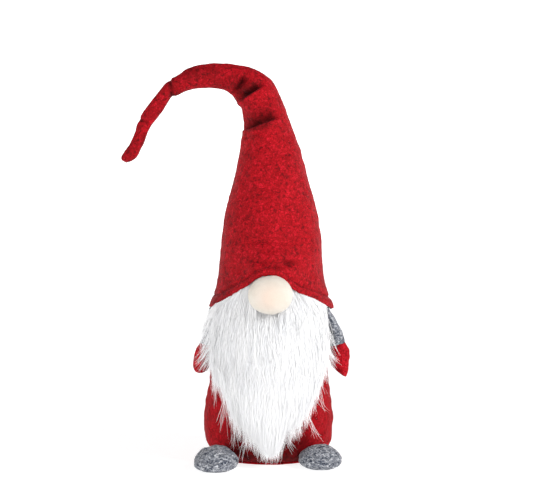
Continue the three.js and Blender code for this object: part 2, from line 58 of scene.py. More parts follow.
# ------------------------------------------------------------------ dimensions
BODY = [
    (44.5, 1.9),
    (47.5, 3.4),
    (51.5, 7),
    (55, 13.5),
    (56.8, 24),
    (56.2, 38),
    (54.0, 54),
    (51.6, 72),
    (49.6, 92),
    (47.4, 112),
    (44.8, 132),
    (41.8, 152),
    (38.2, 168),
    (32, 182),
    (22, 192.5),
    (0.01, 200),
]  # half width, height
BODY_Z = np.array([z for _, z in BODY])
BODY_R = np.array([r for r, _ in BODY])

# matching points on the hat's two edges: x and z on the left edge, then on the right, as the gnome faces us
HAT_EDGES = [
    (-43.9, 161.6, 48.4, 161.6),
    (-42.5, 175.8, 47.3, 175.8),
    (-41.3, 189.8, 46.4, 189.8),
    (-37.9, 212.0, 42.8, 212.0),
    (-32.7, 234.6, 37.2, 234.6),
    (-27.0, 259.5, 30.8, 259.5),
    (-23.2, 281.8, 23.2, 281.8),
    (-22.7, 295.6, 17.6, 297.1),
    (-22.9, 302.6, 14.6, 306.0),
    (-23.7, 306.6, 10.4, 315.1),
    (-25.0, 308.1, 6.3, 324.2),
    (-26.6, 309.6, 1.2, 331.6),
    (-28.8, 312.9, -7.6, 337.4),
    (-31.7, 317.0, -17.4, 341.6),
    (-35.8, 320.3, -27.0, 343.6),
    (-42.0, 322.6, -38.2, 345.0),
    (-49.9, 323.8, -49.4, 345.2),
    (-59.1, 324.1, -61.9, 343.7),
    (-67.2, 323.2, -71.7, 340.2),
    (-73.6, 320.6, -77.9, 335.9),
    (-78.9, 318.1, -82.2, 332.9),
    (-83.8, 315.6, -86.4, 331.2),
    (-87.4, 312.2, -91.0, 327.2),
    (-91.0, 306.0, -97.2, 319.0),
    (-95.6, 299.4, -105.0, 309.2),
    (-100.7, 293.5, -110.8, 301.0),
    (-104.0, 288.4, -114.4, 293.4),
    (-107.2, 281.5, -117.4, 284.0),
    (-110.3, 274.2, -120.9, 275.8),
    (-113.4, 267.9, -125.2, 269.5),
    (-115.6, 264.2, -127.9, 265.2),
]
# x of the hat's left and right edges by height, down to the brim's corners
HAT_SIDES_LOW = [
    (127, -54.6, 57.0),
    (131, -53.8, 55.6),
    (134, -52.4, 54.6),
    (138, -50.6, 53.2),
    (143, -48.6, 51.6),
    (148, -46.9, 50.6),
    (155, -45.2, 49.0),
    (161.6, -43.9, 48.4),
    (175.8, -42.5, 47.3),
    (189.8, -41.3, 46.4),
]
# the brim's lower edge across the front, by x
BRIM = [
    (-54, 131.6),
    (-52.7, 133.0),
    (-46.5, 137.6),
    (-38.8, 141.8),
    (-26.3, 149.4),
    (-18.4, 154.0),
    (-11.4, 159.6),
    (-4.5, 162.6),
    (1.6, 163.6),
    (8.4, 162.0),
    (15.3, 157.4),
    (20.6, 152.2),
    (28.4, 147.4),
    (39.2, 142.8),
    (48.6, 137.4),
    (53.4, 133.2),
    (55.6, 130.6),
]
BRIM_BACK = 136

NOSE_AT = np.array([1.5, -56.2, 147.2])
NOSE = np.array([19.1, 14.3, 16.3])

FEET = {
    "left": (43.6, -49.0, 12.0, 18.1, 1.15),
    "right": (-44.3, -57.0, -10.0, 19.3, 1.27),
}  # x, y, turn in degrees, half width, length as a share of the width
FOOT = [
    (0.70, 0.5),
    (0.86, 1.6),
    (0.955, 3.8),
    (1.0, 6.8),
    (0.975, 8.7),
    (0.90, 11.1),
    (0.77, 13.8),
    (0.57, 16.4),
    (0.32, 18.2),
    (0.001, 18.9),
]

# inner and outer edge of each arm from the shoulder to the fingertip, x and z
ARM_Y = -6.0
ARMS = {
    "left": {
        "sleeve": [
            (50.6, 132.6, 51.8, 132.9),
            (49.3, 131.2, 53.1, 132.2),
            (48.9, 129.0, 54.0, 130.2),
            (49.5, 122.5, 56.9, 125.4),
            (50.6, 115.3, 60.3, 119.4),
            (52.0, 109.5, 63.2, 113.6),
            (53.3, 103.8, 65.4, 107.0),
            (54.3, 98.3, 66.7, 101.6),
        ],
        "mitten": [
            (54.4, 97.9, 66.9, 101.0),
            (53.5, 93.4, 69.6, 96.0),
            (52.9, 88.6, 71.0, 90.2),
            (53.3, 84.2, 71.2, 84.0),
            (56.2, 79.4, 70.4, 77.6),
            (61.0, 75.0, 69.2, 73.4),
            (64.8, 72.0, 68.2, 71.0),
        ],
    },
    "right": {
        "sleeve": [
            (-48.9, 132.4, -50.1, 132.7),
            (-47.4, 131.2, -51.8, 132.0),
            (-46.9, 129.0, -52.6, 130.2),
            (-46.9, 122.0, -54.0, 123.4),
            (-47.5, 113.6, -55.6, 115.4),
            (-48.3, 106.5, -57.7, 108.8),
            (-49.0, 99.0, -60.4, 101.4),
        ],
        "mitten": [
            (-49.1, 98.6, -60.6, 101.0),
            (-49.9, 92.6, -63.6, 95.0),
            (-50.5, 86.0, -65.7, 87.6),
            (-51.4, 80.6, -66.2, 80.4),
            (-53.8, 76.6, -64.6, 76.0),
            (-57.0, 74.2, -61.8, 73.8),
        ],
    },
}

# the lowest that the beard's hair reaches, by x
BEARD_END = [
    (-60, 74),
    (-50, 68),
    (-46, 61),
    (-42, 59),
    (-39, 51),
    (-36, 44),
    (-33, 35),
    (-30, 27),
    (-25, 23),
    (-18, 17),
    (-12, 12),
    (-8, 6),
    (-5, 1.2),
    (8, 1.2),
    (10, 4),
    (12, 12),
    (15, 19),
    (21, 23),
    (27, 26),
    (32, 32),
    (37, 42),
    (41, 50),
    (47, 64),
    (50.7, 78),
    (60, 84),
]


# --------------------------------------------------------------------- helpers
def table(rows, at, col=1):
    rows = np.array(rows, float)
    return np.interp(at, rows[:, 0], rows[:, col])


def smooth(a, b, x):
    t = np.clip((np.asarray(x, float) - a) / (b - a), 0, 1)
    return t * t * (3 - 2 * t)


def spline(points, n):
    """n rows along a Catmull-Rom curve through the rows of points, evenly by index."""
    p = np.array(points, float)
    p = np.vstack([2 * p[0] - p[1], p, 2 * p[-1] - p[-2]])
    u = np.linspace(0, len(p) - 3, n)
    i = np.minimum(u.astype(int), len(p) - 4)
    t = (u - i)[:, None]
    a, b, c, d = p[i], p[i + 1], p[i + 2], p[i + 3]
    return 0.5 * (
        2 * b
        + (c - a) * t
        + (2 * a - 5 * b + 4 * c - d) * t**2
        + (3 * b - a - 3 * c + d) * t**3
    )


def unit(v):
    return v / np.maximum(np.linalg.norm(v, axis=-1, keepdims=True), 1e-12)


class Wobble:
    """A smooth seeded noise field over points in mm, of about unit size, with waves near the given length."""

    def __init__(self, seed, size, n=16):
        r = np.random.default_rng(seed)
        self.k = (
            unit(r.normal(size=(n, 3))) * (2 * np.pi / size) * r.uniform(0.6, 1.5, (n, 1))
        )
        self.f = r.uniform(0, 2 * np.pi, n)

    def __call__(self, p):
        return np.sin(np.asarray(p) @ self.k.T + self.f).sum(-1) / math.sqrt(len(self.f) / 2)


def set_painted_shade(o, values):
    """Painted shade on the felt, 0 to 1, kept as a point attribute: how far its colour is darkened deep in folds and
    low on the body's front.
    """
    a = o.data.attributes.new("painted_shade", "FLOAT", "POINT")
    a.data.foreach_set("value", np.asarray(values, np.float32))


def make(name, verts, faces, material, normals=None, flat=False):
    me = bpy.data.meshes.new(name)
    me.from_pydata((np.asarray(verts, float) * MM).tolist(), [], [tuple(map(int, f)) for f in faces])
    me.update()
    me.polygons.foreach_set("use_smooth", np.full(len(me.polygons), not flat))
    if normals is not None:
        me.normals_split_custom_set_from_vertices(unit(np.asarray(normals, float)).tolist())
    o = bpy.data.objects.new(name, me)
    bpy.context.collection.objects.link(o)
    me.materials.append(material)
    return o


def quads(rows, cols, base=0, flip=False, closed=True):
    """The faces of a grid of rows of points, each row a loop if closed."""
    out = []
    last = cols if closed else cols - 1
    for i in range(rows - 1):
        for j in range(last):
            a, b = base + i * cols + j, base + i * cols + (j + 1) % cols
            c, d = b + cols, a + cols
            out.append((a, d, c, b) if flip else (a, b, c, d))
    return out


def grid_normals(g):
    """Outward normals of a grid of rings (rows, cols, 3), for rings that run anticlockwise as seen from the last ring."""
    du = np.roll(g, -1, 1) - np.roll(g, 1, 1)
    dv = np.gradient(g, axis=0)
    return unit(np.cross(du, dv))


def shell(g, n, t_in, cap_top=False, cap_bottom=False, rim_round=0.35):
    """A closed wall from a grid of outer rings and its normals: vertices, faces, normals.
    t_in is the wall by row. Where a cap is asked for, the ring there closes on a middle point, inside and out."""
    rows, cols, _ = g.shape
    t = np.broadcast_to(np.asarray(t_in, float).reshape(-1, 1, 1), (rows, 1, 1))
    inner = g - n * t
    verts = [g.reshape(-1, 3), inner.reshape(-1, 3)]
    norms = [n.reshape(-1, 3), -n.reshape(-1, 3)]
    faces = quads(rows, cols) + quads(rows, cols, rows * cols, flip=True)
    count = 2 * rows * cols
    for cap, row, nxt in ((cap_bottom, 0, 1), (cap_top, rows - 1, rows - 2)):
        up = row > 0
        if cap:
            for k, src in ((0, g), (1, inner)):
                middle = src[row].mean(0)
                d = unit(src[row].mean(0) - src[nxt].mean(0))
                verts.append(middle[None] + d * 0.02)
                norms.append((d if k == 0 else -d)[None])
                for j in range(cols):
                    a, b = row * cols + j, row * cols + (j + 1) % cols
                    a, b = a + k * rows * cols, b + k * rows * cols
                    faces.append((a, b, count) if up == (k == 0) else (b, a, count))
                count += 1
        else:
            out = unit(g[row] - g[nxt])
            mid = (g[row] + inner[row]) / 2 + out * rim_round
            verts.append(mid)
            norms.append(out)
            for j in range(cols):
                j2 = (j + 1) % cols
                a, b = row * cols + j, row * cols + j2
                m1, m2 = count + j, count + j2
                c, d = a + rows * cols, b + rows * cols
                if up:
                    faces += [(a, b, m2, m1), (m1, m2, d, c)]
                else:
                    faces += [(b, a, m1, m2), (m2, m1, c, d)]
            count += cols
    return np.vstack(verts), faces, np.vstack(norms)


def closed_strip(name, outer, inner, material):
    """A thin closed body between two open grids of points."""
    r, c, _ = outer.shape
    v = np.vstack([outer.reshape(-1, 3), inner.reshape(-1, 3)])
    f = quads(r, c, closed=False) + quads(r, c, r * c, flip=True, closed=False)
    edge = list(range(c)) + [i * c + c - 1 for i in range(1, r)]
    edge += [(r - 1) * c + i for i in range(c - 2, -1, -1)] + [i * c for i in range(r - 2, 0, -1)]
    for i in range(len(edge)):
        p0, p1 = edge[i], edge[(i + 1) % len(edge)]
        f.append((p1, p0, p0 + r * c, p1 + r * c))
    o = make(name, v, f, material)
    bm = bmesh.new()
    bm.from_mesh(o.data)
    bmesh.ops.recalc_face_normals(bm, faces=bm.faces)
    bm.to_mesh(o.data)
    bm.free()
    return o


def inflated(g, n, name, voxel, cap, pinned, pressure=4.0):
    rows, cols, _ = g.shape
    small = g - n * 0.6
    v = np.vstack([small.reshape(-1, 3), small[0].mean(0)[None], small[-1].mean(0)[None]])
    f = quads(rows, cols)
    for j in range(cols):
        j2 = (j + 1) % cols
        f.append((j2, j, rows * cols))
        f.append(((rows - 1) * cols + j, (rows - 1) * cols + j2, rows * cols + 1))
    me = bpy.data.meshes.new(name)
    me.from_pydata((v * MM).tolist(), [], f)
    ob = bpy.data.objects.new(name, me)
    bpy.context.collection.objects.link(ob)
    m = ob.modifiers.new("even", "REMESH")
    m.mode = "VOXEL"
    m.voxel_size = voxel * MM
    dg = bpy.context.evaluated_depsgraph_get()
    me2 = bpy.data.meshes.new_from_object(ob.evaluated_get(dg))
    ob.modifiers.clear()
    ob.data = me2
    count = len(me2.vertices)
    start = np.empty(count * 3)
    me2.vertices.foreach_get("co", start)
    start = start.reshape(-1, 3) / MM
    hold = np.where(pinned(start))[0]
    group = ob.vertex_groups.new(name="held")
    group.add(hold.tolist(), 1.0, "REPLACE")
    c = ob.modifiers.new("fill", "CLOTH")
    c.settings.quality = 4
    c.settings.mass = 0.15
    c.settings.tension_stiffness = c.settings.compression_stiffness = 12
    c.settings.shear_stiffness = 6
    c.settings.bending_stiffness = 0.4
    c.settings.use_pressure = True
    c.settings.uniform_pressure_force = pressure
    c.settings.effector_weights.gravity = 0
    c.settings.vertex_group_mass = "held"
    c.point_cache.frame_start, c.point_cache.frame_end = 1, 20
    for k in range(1, 21):
        bpy.context.scene.frame_set(k)
    dg = bpy.context.evaluated_depsgraph_get()
    done = bpy.data.meshes.new_from_object(ob.evaluated_get(dg))
    end = np.empty(count * 3)
    done.vertices.foreach_get("co", end)
    end = end.reshape(-1, 3) / MM
    move = end - start
    size = np.linalg.norm(move, axis=1, keepdims=True)
    move *= np.minimum(1, cap / np.maximum(size, 1e-9))
    tree = mathutils.kdtree.KDTree(count)
    for i, q in enumerate(start):
        tree.insert(q, i)
    tree.balance()
    flat = g.reshape(-1, 3)
    out = np.zeros(len(flat))
    nf = n.reshape(-1, 3)
    for i, q in enumerate(flat):
        near = tree.find_n(q, 6)
        w = np.array([1 / (d + 1.0) for _, _, d in near])
        mv = sum(wi * move[k] for wi, (_, k, _) in zip(w, near)) / w.sum()
        out[i] = mv @ nf[i]
    print("inflated", name, count, "points, mean", round(float(size.mean()), 2), "most", round(float(size.max()), 2), "mm")
    bpy.data.objects.remove(ob)
    bpy.context.scene.frame_set(1)
    return out.reshape(rows, cols)


# ------------------------------------------------------------------- materials
def nodes_of(name):
    m = bpy.data.materials.new(name)
    m.use_nodes = True
    t = m.node_tree
    return m, t, t.nodes["Principled BSDF"]


def link(t, a, b):
    t.links.new(a, b)


def noise(t, coord, scale, detail=4.0, rough=0.6, distort=0.0):
    n = t.nodes.new("ShaderNodeTexNoise")
    n.inputs["Scale"].default_value = scale
    n.inputs["Detail"].default_value = detail
    n.inputs["Roughness"].default_value = rough
    n.inputs["Distortion"].default_value = distort
    link(t, coord, n.inputs["Vector"])
    return n.outputs["Fac"]


def ramp(t, fac, stops):
    n = t.nodes.new("ShaderNodeValToRGB")
    e = n.color_ramp.elements
    while len(e) < len(stops):
        e.new(0.5)
    for el, (p, c) in zip(e, stops):
        el.position = p
        el.color = (*c, 1) if len(c) == 3 else c
    link(t, fac, n.inputs["Fac"])
    return n.outputs["Color"]


def mix(t, a, b, fac, kind="MIX"):
    n = t.nodes.new("ShaderNodeMix")
    n.data_type = "RGBA"
    n.blend_type = kind
    for s, v in ((6, a), (7, b), (0, fac)):
        if hasattr(v, "is_output"):
            link(t, v, n.inputs[s])
        elif s == 0:
            n.inputs[0].default_value = v
        else:
            n.inputs[s].default_value = (*v, 1)
    return n.outputs[2]


def grey(v):
    return (v, v, v)


def lin(r, g, b):
    f = lambda c: (c / 255 / 12.92) if c <= 10 else ((c / 255 + 0.055) / 1.055) ** 2.4
    return (f(r), f(g), f(b))


def coords(t, stretch=(1, 1, 1)):
    c = t.nodes.new("ShaderNodeTexCoord").outputs["Object"]
    if stretch == (1, 1, 1):
        return c
    m = t.nodes.new("ShaderNodeMapping")
    m.inputs["Scale"].default_value = stretch
    link(t, c, m.inputs["Vector"])
    return m.outputs["Vector"]


def bump(t, bsdf, heights):
    """heights is a list of (socket, strength, distance in metres), combined one after another."""
    last = None
    for h, strength, distance in heights:
        b = t.nodes.new("ShaderNodeBump")
        b.inputs["Strength"].default_value = strength
        b.inputs["Distance"].default_value = distance
        link(t, h, b.inputs["Height"])
        if last:
            link(t, last, b.inputs["Normal"])
        last = b.outputs["Normal"]
    link(t, last, bsdf.inputs["Normal"])


def felt(name, dark, mid, light, sheen=0.15, tint=(1, 0.4, 0.5), mottle=1.0, rough=0.8, folds=False):
    m, t, b = nodes_of(name)
    c = coords(t)
    patches = noise(t, c, 70, 3, 0.6)
    clumps = noise(t, c, 380, 3, 0.66, 1.0)
    fibres = noise(t, coords(t, (1, 1, 1.6)), 900, 4, 0.7, 1.4)
    specks = noise(t, c, 1700, 2, 0.6)
    col = ramp(t, clumps, [(0.36, dark), (0.475, mid), (0.53, mid), (0.65, light)])
    col = mix(
        t, col, ramp(t, fibres, [(0.38, grey(0.52)), (0.47, grey(0.95)), (0.54, grey(1.0)), (0.64, grey(1.36))]),
        0.85 * mottle, "MULTIPLY",
    )
    col = mix(t, col, ramp(t, patches, [(0.35, grey(0.88)), (0.65, grey(1.06))]), 0.8, "MULTIPLY")
    col = mix(t, col, ramp(t, specks, [(0.38, grey(0.8)), (0.5, grey(1)), (0.64, grey(1.15))]), 0.6, "MULTIPLY")
    # painted shade: a point attribute darkens the felt's colour deep in folds and low on the body's front, where shade
    # falls
    if folds:
        painted_shade = t.nodes.new("ShaderNodeAttribute")
        painted_shade.attribute_name = "painted_shade"
        col = mix(t, col, ramp(t, painted_shade.outputs["Fac"], [(0.0, grey(1)), (0.5, (0.5, 0.42, 0.42)), (1.0, (0.2, 0.13, 0.13))]), 1.0, "MULTIPLY")
    link(t, col, b.inputs["Base Color"])
    b.inputs["Roughness"].default_value = rough
    b.inputs["Specular IOR Level"].default_value = 0.09
    b.inputs["Sheen Weight"].default_value = sheen
    b.inputs["Sheen Roughness"].default_value = 0.4
    b.inputs["Sheen Tint"].default_value = (*tint, 1)
    bump(t, b, [(clumps, 0.4, 0.0010), (fibres, 0.6, 0.0006), (specks, 0.5, 0.00022)])
    return m


def heather(name):
    m, t, b = nodes_of(name)
    c = coords(t)
    flecks = noise(t, coords(t, (1, 1, 1.7)), 330, 4, 0.68, 1.2)
    hairs = noise(t, coords(t, (1, 1, 2.2)), 640, 3, 0.65, 1.4)
    patches = noise(t, c, 110, 3, 0.6)
    col = ramp(
        t,
        flecks,
        [
            (0.36, lin(34, 39, 54)),
            (0.44, lin(84, 89, 101)),
            (0.5, lin(126, 129, 137)),
            (0.57, lin(160, 162, 168)),
            (0.66, lin(216, 217, 221)),
        ],
    )
    col = mix(
        t, col, ramp(t, hairs, [(0.38, grey(0.26)), (0.455, grey(0.9)), (0.55, grey(1.0)), (0.64, grey(1.5))]), 0.85, "MULTIPLY"
    )
    col = mix(t, col, ramp(t, patches, [(0.3, grey(0.84)), (0.7, grey(1.12))]), 0.7, "MULTIPLY")
    link(t, col, b.inputs["Base Color"])
    b.inputs["Roughness"].default_value = 0.88
    b.inputs["Specular IOR Level"].default_value = 0.25
    b.inputs["Sheen Weight"].default_value = 0.12
    b.inputs["Sheen Roughness"].default_value = 0.45
    bump(t, b, [(flecks, 0.6, 0.0008), (hairs, 0.5, 0.0004)])
    return m


def jersey(name, dark, mid, light, ribs=2400, blush=None):
    m, t, b = nodes_of(name)
    c = coords(t)
    soft = noise(t, c, 60, 3, 0.5)
    wave = t.nodes.new("ShaderNodeTexWave")
    wave.wave_type = "BANDS"
    wave.bands_direction = "X"
    wave.inputs["Scale"].default_value = ribs / 6.283
    wave.inputs["Distortion"].default_value = 0.6
    wave.inputs["Detail"].default_value = 1
    link(t, c, wave.inputs["Vector"])
    pill = noise(t, c, 900, 3, 0.6)
    col = ramp(t, soft, [(0.3, dark), (0.5, mid), (0.7, light)])
    if blush:
        far = t.nodes.new("ShaderNodeVectorMath")
        far.operation = "DISTANCE"
        far.inputs[1].default_value = blush
        link(t, c, far.inputs[0])
        near = t.nodes.new("ShaderNodeMapRange")
        near.inputs["From Min"].default_value = 0.004
        near.inputs["From Max"].default_value = 0.016
        near.inputs["To Min"].default_value = 1.0
        near.inputs["To Max"].default_value = 0.0
        link(t, far.outputs["Value"], near.inputs["Value"])
        spot = t.nodes.new("ShaderNodeMath")
        spot.operation = "MULTIPLY"
        spot.inputs[1].default_value = 0.5
        link(t, near.outputs["Result"], spot.inputs[0])
        col = mix(t, col, lin(226, 196, 178), spot.outputs[0])
    col = mix(t, col, ramp(t, pill, [(0.3, grey(0.95)), (0.7, grey(1.04))]), 0.6, "MULTIPLY")
    link(t, col, b.inputs["Base Color"])
    b.inputs["Roughness"].default_value = 0.78
    b.inputs["Specular IOR Level"].default_value = 0.3
    b.inputs["Sheen Weight"].default_value = 0.25
    b.inputs["Sheen Roughness"].default_value = 0.5
    b.inputs["Subsurface Weight"].default_value = 0.0
    bump(t, b, [(soft, 0.2, 0.0012), (wave.outputs["Fac"], 0.22, 0.00012), (pill, 0.3, 0.00015)])
    return m


def fur_material(name):
    m, t, b = nodes_of(name)
    uv = t.nodes.new("ShaderNodeUVMap")
    uv.uv_map = "OFBake"
    sep = t.nodes.new("ShaderNodeSeparateXYZ")
    link(t, uv.outputs["UV"], sep.inputs[0])
    tone = ramp(
        t,
        sep.outputs["X"],
        [
            (0.0, lin(232, 233, 236)),
            (0.3, lin(244, 245, 247)),
            (0.62, lin(251, 251, 252)),
            (1.0, lin(255, 255, 255)),
        ],
    )
    # painted shade: each hair is darkened towards its root, where the hair over it shades it
    along = ramp(t, sep.outputs["Y"], [(0.0, grey(0.9)), (0.2, grey(0.97)), (0.45, grey(1.0)), (1.0, grey(1.0))])
    link(t, mix(t, tone, along, 1.0, "MULTIPLY"), b.inputs["Base Color"])
    b.inputs["Roughness"].default_value = 0.6
    b.inputs["Specular IOR Level"].default_value = 0.2
    b.inputs["Sheen Weight"].default_value = 0.2
    b.inputs["Sheen Roughness"].default_value = 0.4
    return m


def underfur_material(name):
    m, t, b = nodes_of(name)
    strands = noise(t, coords(t, (1, 1, 0.09)), 420, 4, 0.65, 0.4)
    locks = noise(t, coords(t, (1, 1, 0.16)), 110, 3, 0.6, 0.5)
    col = ramp(t, strands, [(0.36, lin(226, 227, 231)), (0.5, lin(244, 245, 246)), (0.62, lin(253, 253, 253))])
    col = mix(t, col, ramp(t, locks, [(0.34, grey(0.92)), (0.6, grey(1.0))]), 0.7, "MULTIPLY")
    link(t, col, b.inputs["Base Color"])
    b.inputs["Roughness"].default_value = 0.7
    b.inputs["Sheen Weight"].default_value = 0.2
    bump(t, b, [(strands, 0.7, 0.0009), (locks, 0.6, 0.0022)])
    return m


def weave(name, dark, light, scale=1500):
    m, t, b = nodes_of(name)
    c = coords(t)
    u = noise(t, coords(t, (1, 1, 0.2)), scale, 2, 0.5)
    v = noise(t, coords(t, (0.2, 0.2, 1)), scale, 2, 0.5)
    both = mix(t, ramp(t, u, [(0.35, grey(0)), (0.65, grey(1))]), ramp(t, v, [(0.35, grey(0)), (0.65, grey(1))]), 0.5)
    col = ramp(t, both, [(0.2, dark), (0.8, light)])
    blot = noise(t, c, 90, 3, 0.6)
    col = mix(t, col, ramp(t, blot, [(0.3, grey(0.9)), (0.7, grey(1.05))]), 0.8, "MULTIPLY")
    link(t, col, b.inputs["Base Color"])
    b.inputs["Roughness"].default_value = 0.92
    bump(t, b, [(u, 0.4, 0.0003), (v, 0.4, 0.0003)])
    return m


def metal(name):
    m, t, b = nodes_of(name)
    draw = noise(t, coords(t, (1, 1, 1)), 1800, 3, 0.6)
    link(t, ramp(t, draw, [(0.3, lin(120, 122, 126)), (0.7, lin(176, 178, 181))]), b.inputs["Base Color"])
    b.inputs["Metallic"].default_value = 0.95
    b.inputs["Roughness"].default_value = 0.38
    bump(t, b, [(draw, 0.3, 0.0001)])
    return m


HAT_FELT = felt("red_hat_felt", lin(106, 6, 14), lin(162, 9, 20), lin(198, 22, 40), 0.05, rough=0.66, folds=True)
BODY_FELT = felt("red_body_felt", lin(102, 5, 12), lin(157, 8, 18), lin(188, 20, 35), 0.02, folds=True)
MITTEN_FELT = felt("red_mitten_felt", lin(116, 8, 18), lin(174, 16, 28), lin(206, 34, 50), 0.08)
GREY_FELT = heather("grey_heathered_felt")
NOSE_CLOTH = jersey("nose_jersey", lin(211, 202, 189), lin(217, 209, 197), lin(222, 216, 206), blush=(0.0005, -0.070, 0.1455))
FUR = fur_material("beard_fur")
UNDERFUR = underfur_material("beard_underfur")
KNIT = weave("fur_backing_knit", lin(196, 192, 182), lin(236, 233, 226))
RED_THREAD = felt("red_thread", lin(90, 10, 18), lin(140, 22, 32), lin(190, 50, 60), 0.2)
GREY_THREAD = felt("grey_thread", lin(70, 72, 80), lin(112, 114, 120), lin(160, 162, 168), 0.2, (1, 1, 1))
CREAM_THREAD = felt("cream_thread", lin(190, 180, 165), lin(222, 214, 200), lin(240, 236, 228), 0.2, (1, 1, 1))
CARD = weave("stiffener_card", lin(140, 112, 78), lin(182, 152, 112), 500)
SAND = weave("sand", lin(150, 120, 84), lin(214, 190, 150), 2200)
POUCH = weave("pouch_cloth", lin(206, 200, 188), lin(238, 234, 226))
STEEL = metal("hat_wire")

# ------------------------------------------------------------------------- hat
COLS = 128
ANGLE = np.linspace(0, 2 * np.pi, COLS, endpoint=False)
CX, CY = np.cos(ANGLE), np.sin(ANGLE)  # to the gnome's left, and to the back


def front_bulge(cx, cy):
    a = np.arcsin(np.clip(np.abs(cx), 0, 1))
    return np.where(cy < 0, np.exp(-((a / 0.62) ** 2)), 0)


def brim_edge(x, cy):
    front = table(BRIM, x)
    back = BRIM_BACK + 1.2 * np.sin(x / 11.0)
    return front + (back - front) * smooth(-0.12, 0.5, cy)


def hat_rings():
    """The hat's outer face as rings, from the brim's edge to the tip, with how far each ring is above the brim's edge."""
    rings, above = [], []
    steps = np.concatenate([np.linspace(0, 0.16, 9), np.linspace(0.16, 1, 24)[1:]])
    top = 189.8
    for k in steps[:-1]:
        x = 2 + 54 * CX
        for _ in range(6):
            z = brim_edge(x, CY)
            z = z + k * (top - z)
            lo, hi = table(HAT_SIDES_LOW, z, 1), table(HAT_SIDES_LOW, z, 2)
            w, c = (hi - lo) / 2, (hi + lo) / 2
            x = c + w * CX
        b = 0.95 * w + 9 * front_bulge(CX, CY) * smooth(200, 163, z)
        rings.append(np.stack([x, b * CY, z], 1))
        above.append((z - brim_edge(x, CY)).mean())
    e = spline(HAT_EDGES[2:], 1500)
    gone = np.linalg.norm(np.diff(e, axis=0), axis=1) / 1.4
    gone = np.concatenate([[0], np.cumsum(gone)])
    at = np.interp(np.linspace(0, gone[-1], 300), gone, np.arange(len(e)))
    e = np.stack([np.interp(at, np.arange(len(e)), e[:, k]) for k in range(4)], 1)
    for i, (xl, zl, xr, zr) in enumerate(e):
        left, right = np.array([xl, 0, zl]), np.array([xr, 0, zr])
        c, w = (left + right) / 2, np.linalg.norm(right - left) / 2
        side = (right - left) / (2 * w)
        deep = w * (0.95 + 0.05 * smooth(0, 80, i))
        rings.append(c + CX[:, None] * side * w + CY[:, None] * np.array([0, 1, 0]) * deep)
        above.append(60.0)
    # the rounded tip
    c = rings[-1].mean(0)
    r = np.linalg.norm(rings[-1] - c, axis=1)[:, None]
    d = unit(c - rings[-3].mean(0))
    last = rings[-1]
    for a in np.linspace(0, np.pi / 2, 8)[1:-1]:
        rings.append(c + (last - c) * math.cos(a) + d * r * math.sin(a) * 0.98)
        above.append(60.0)
    tip = c + d * r.mean() * 0.98
    rings.append(tip + (last - c) * 0.03)
    above.append(60.0)
    return np.array(rings), np.array(above)


def band(p, a, b, width, taper=0.35):
    """How strongly a straight fold from a to b (x and z) acts at points p: 1 on its line, fading over the width."""
    a, b = np.array(a, float), np.array(b, float)
    q = p[..., [0, 2]]
    d = b - a
    t = ((q - a) @ d) / (d @ d)
    tc = np.clip(t, 0, 1)
    dist = np.linalg.norm(q - (a + tc[..., None] * d), axis=-1)
    ends = smooth(0 - 0.02, taper, tc) * smooth(1.02, 1 - taper, tc) if taper else 1.0
    return np.exp(-((dist / width) ** 2)) * ends


def blob(p, at, along, across, angle):
    """The same for an oval dent at a point, its long axis turned by angle degrees from +X."""
    a = math.radians(angle)
    q = p[..., [0, 2]] - np.array(at, float)
    u = q @ np.array([math.cos(a), math.sin(a)])
    v = q @ np.array([-math.sin(a), math.cos(a)])
    return np.exp(-((u / along) ** 2) - ((v / across) ** 2))


def fold(p, a, b, deep, soft, sharp=0.9, side=1, ends=0.3):
    """A fold whose cloth dips slowly towards the line from a to b on one side (the left of a to b if side is 1) and stands up sharply on the other."""
    a, b = np.array(a, float), np.array(b, float)
    q = p[..., [0, 2]]
    d = b - a
    length = np.linalg.norm(d)
    d = d / length
    t = (q - a) @ d / length
    v = side * ((q - a) @ np.array([-d[1], d[0]])) + 0.9 * np.clip(t, 0, 1) * (1 - np.clip(t, 0, 1)) * 2
    along = smooth(-0.05, ends, t) * smooth(1.05, 1 - ends, t)
    shape = along * np.where(v > 0, np.exp(-((v / soft) ** 1.5)), np.exp(-((v / sharp) ** 2)))
    # painted shade: the fold's hollow is also darkened in the felt's colour, on the front
    shade.append(shape * min(deep / 7.0, 1) * smooth(0.2, -0.2, n_hat[..., 1]))
    return -deep * shape


rings, above = hat_rings()
n_hat = grid_normals(rings)
front = smooth(-0.3, 0.3, -n_hat[..., 1])
back = smooth(-0.3, 0.3, n_hat[..., 1])
p = rings
lump = np.zeros(p.shape[:2])
shade = []
# folds at the elbow
lump += fold(p, (-28.5, 311.5), (-3.0, 327.5), 8.4, 4.8, 0.9) * front
lump += fold(p, (-32.5, 317.0), (-20.0, 337.0), 6.4, 4.6, 1.0, -1) * front
lump += fold(p, (-40.5, 321.5), (-33.0, 335.0), 1.8, 3.6, 1.2, -1) * front
lump += 1.4 * band(p, (-24.5, 318.0), (-8.0, 331.0), 2.2, 0.3) * front
lump += 1.0 * band(p, (-21.0, 308.0), (2.0, 319.0), 3.2, 0.3) * front
# the dent under the elbow, with a lip below it
lump += fold(p, (-25.0, 287.0), (9.5, 298.5), 8.0, 7.5, 0.8, 1, 0.25) * front
lump += 1.3 * band(p, (-20.0, 284.0), (6.0, 293.5), 2.2, 0.3) * front
lump += 0.9 * band(p, (-22.0, 302.0), (10.0, 308.0), 3.6, 0.3) * front
lump += fold(p, (-23.0, 279.0), (-14.0, 283.0), 1.4, 3.0, 0.9, 1, 0.3) * front
# behind, the felt gathers in its own folds
lump += fold(p, (-27.0, 310.0), (-6.0, 329.0), 4.2, 4.6, 1.2) * back
lump += fold(p, (-22.0, 285.0), (6.0, 291.0), 3.4, 6.0, 1.1, 1, 0.25) * back
lump += 1.3 * band(p, (-21.0, 277.0), (9.0, 285.0), 3.0, 0.3) * back
lump += fold(p, (-35.0, 321.0), (-25.0, 338.0), 2.4, 3.6, 1.2, -1) * back
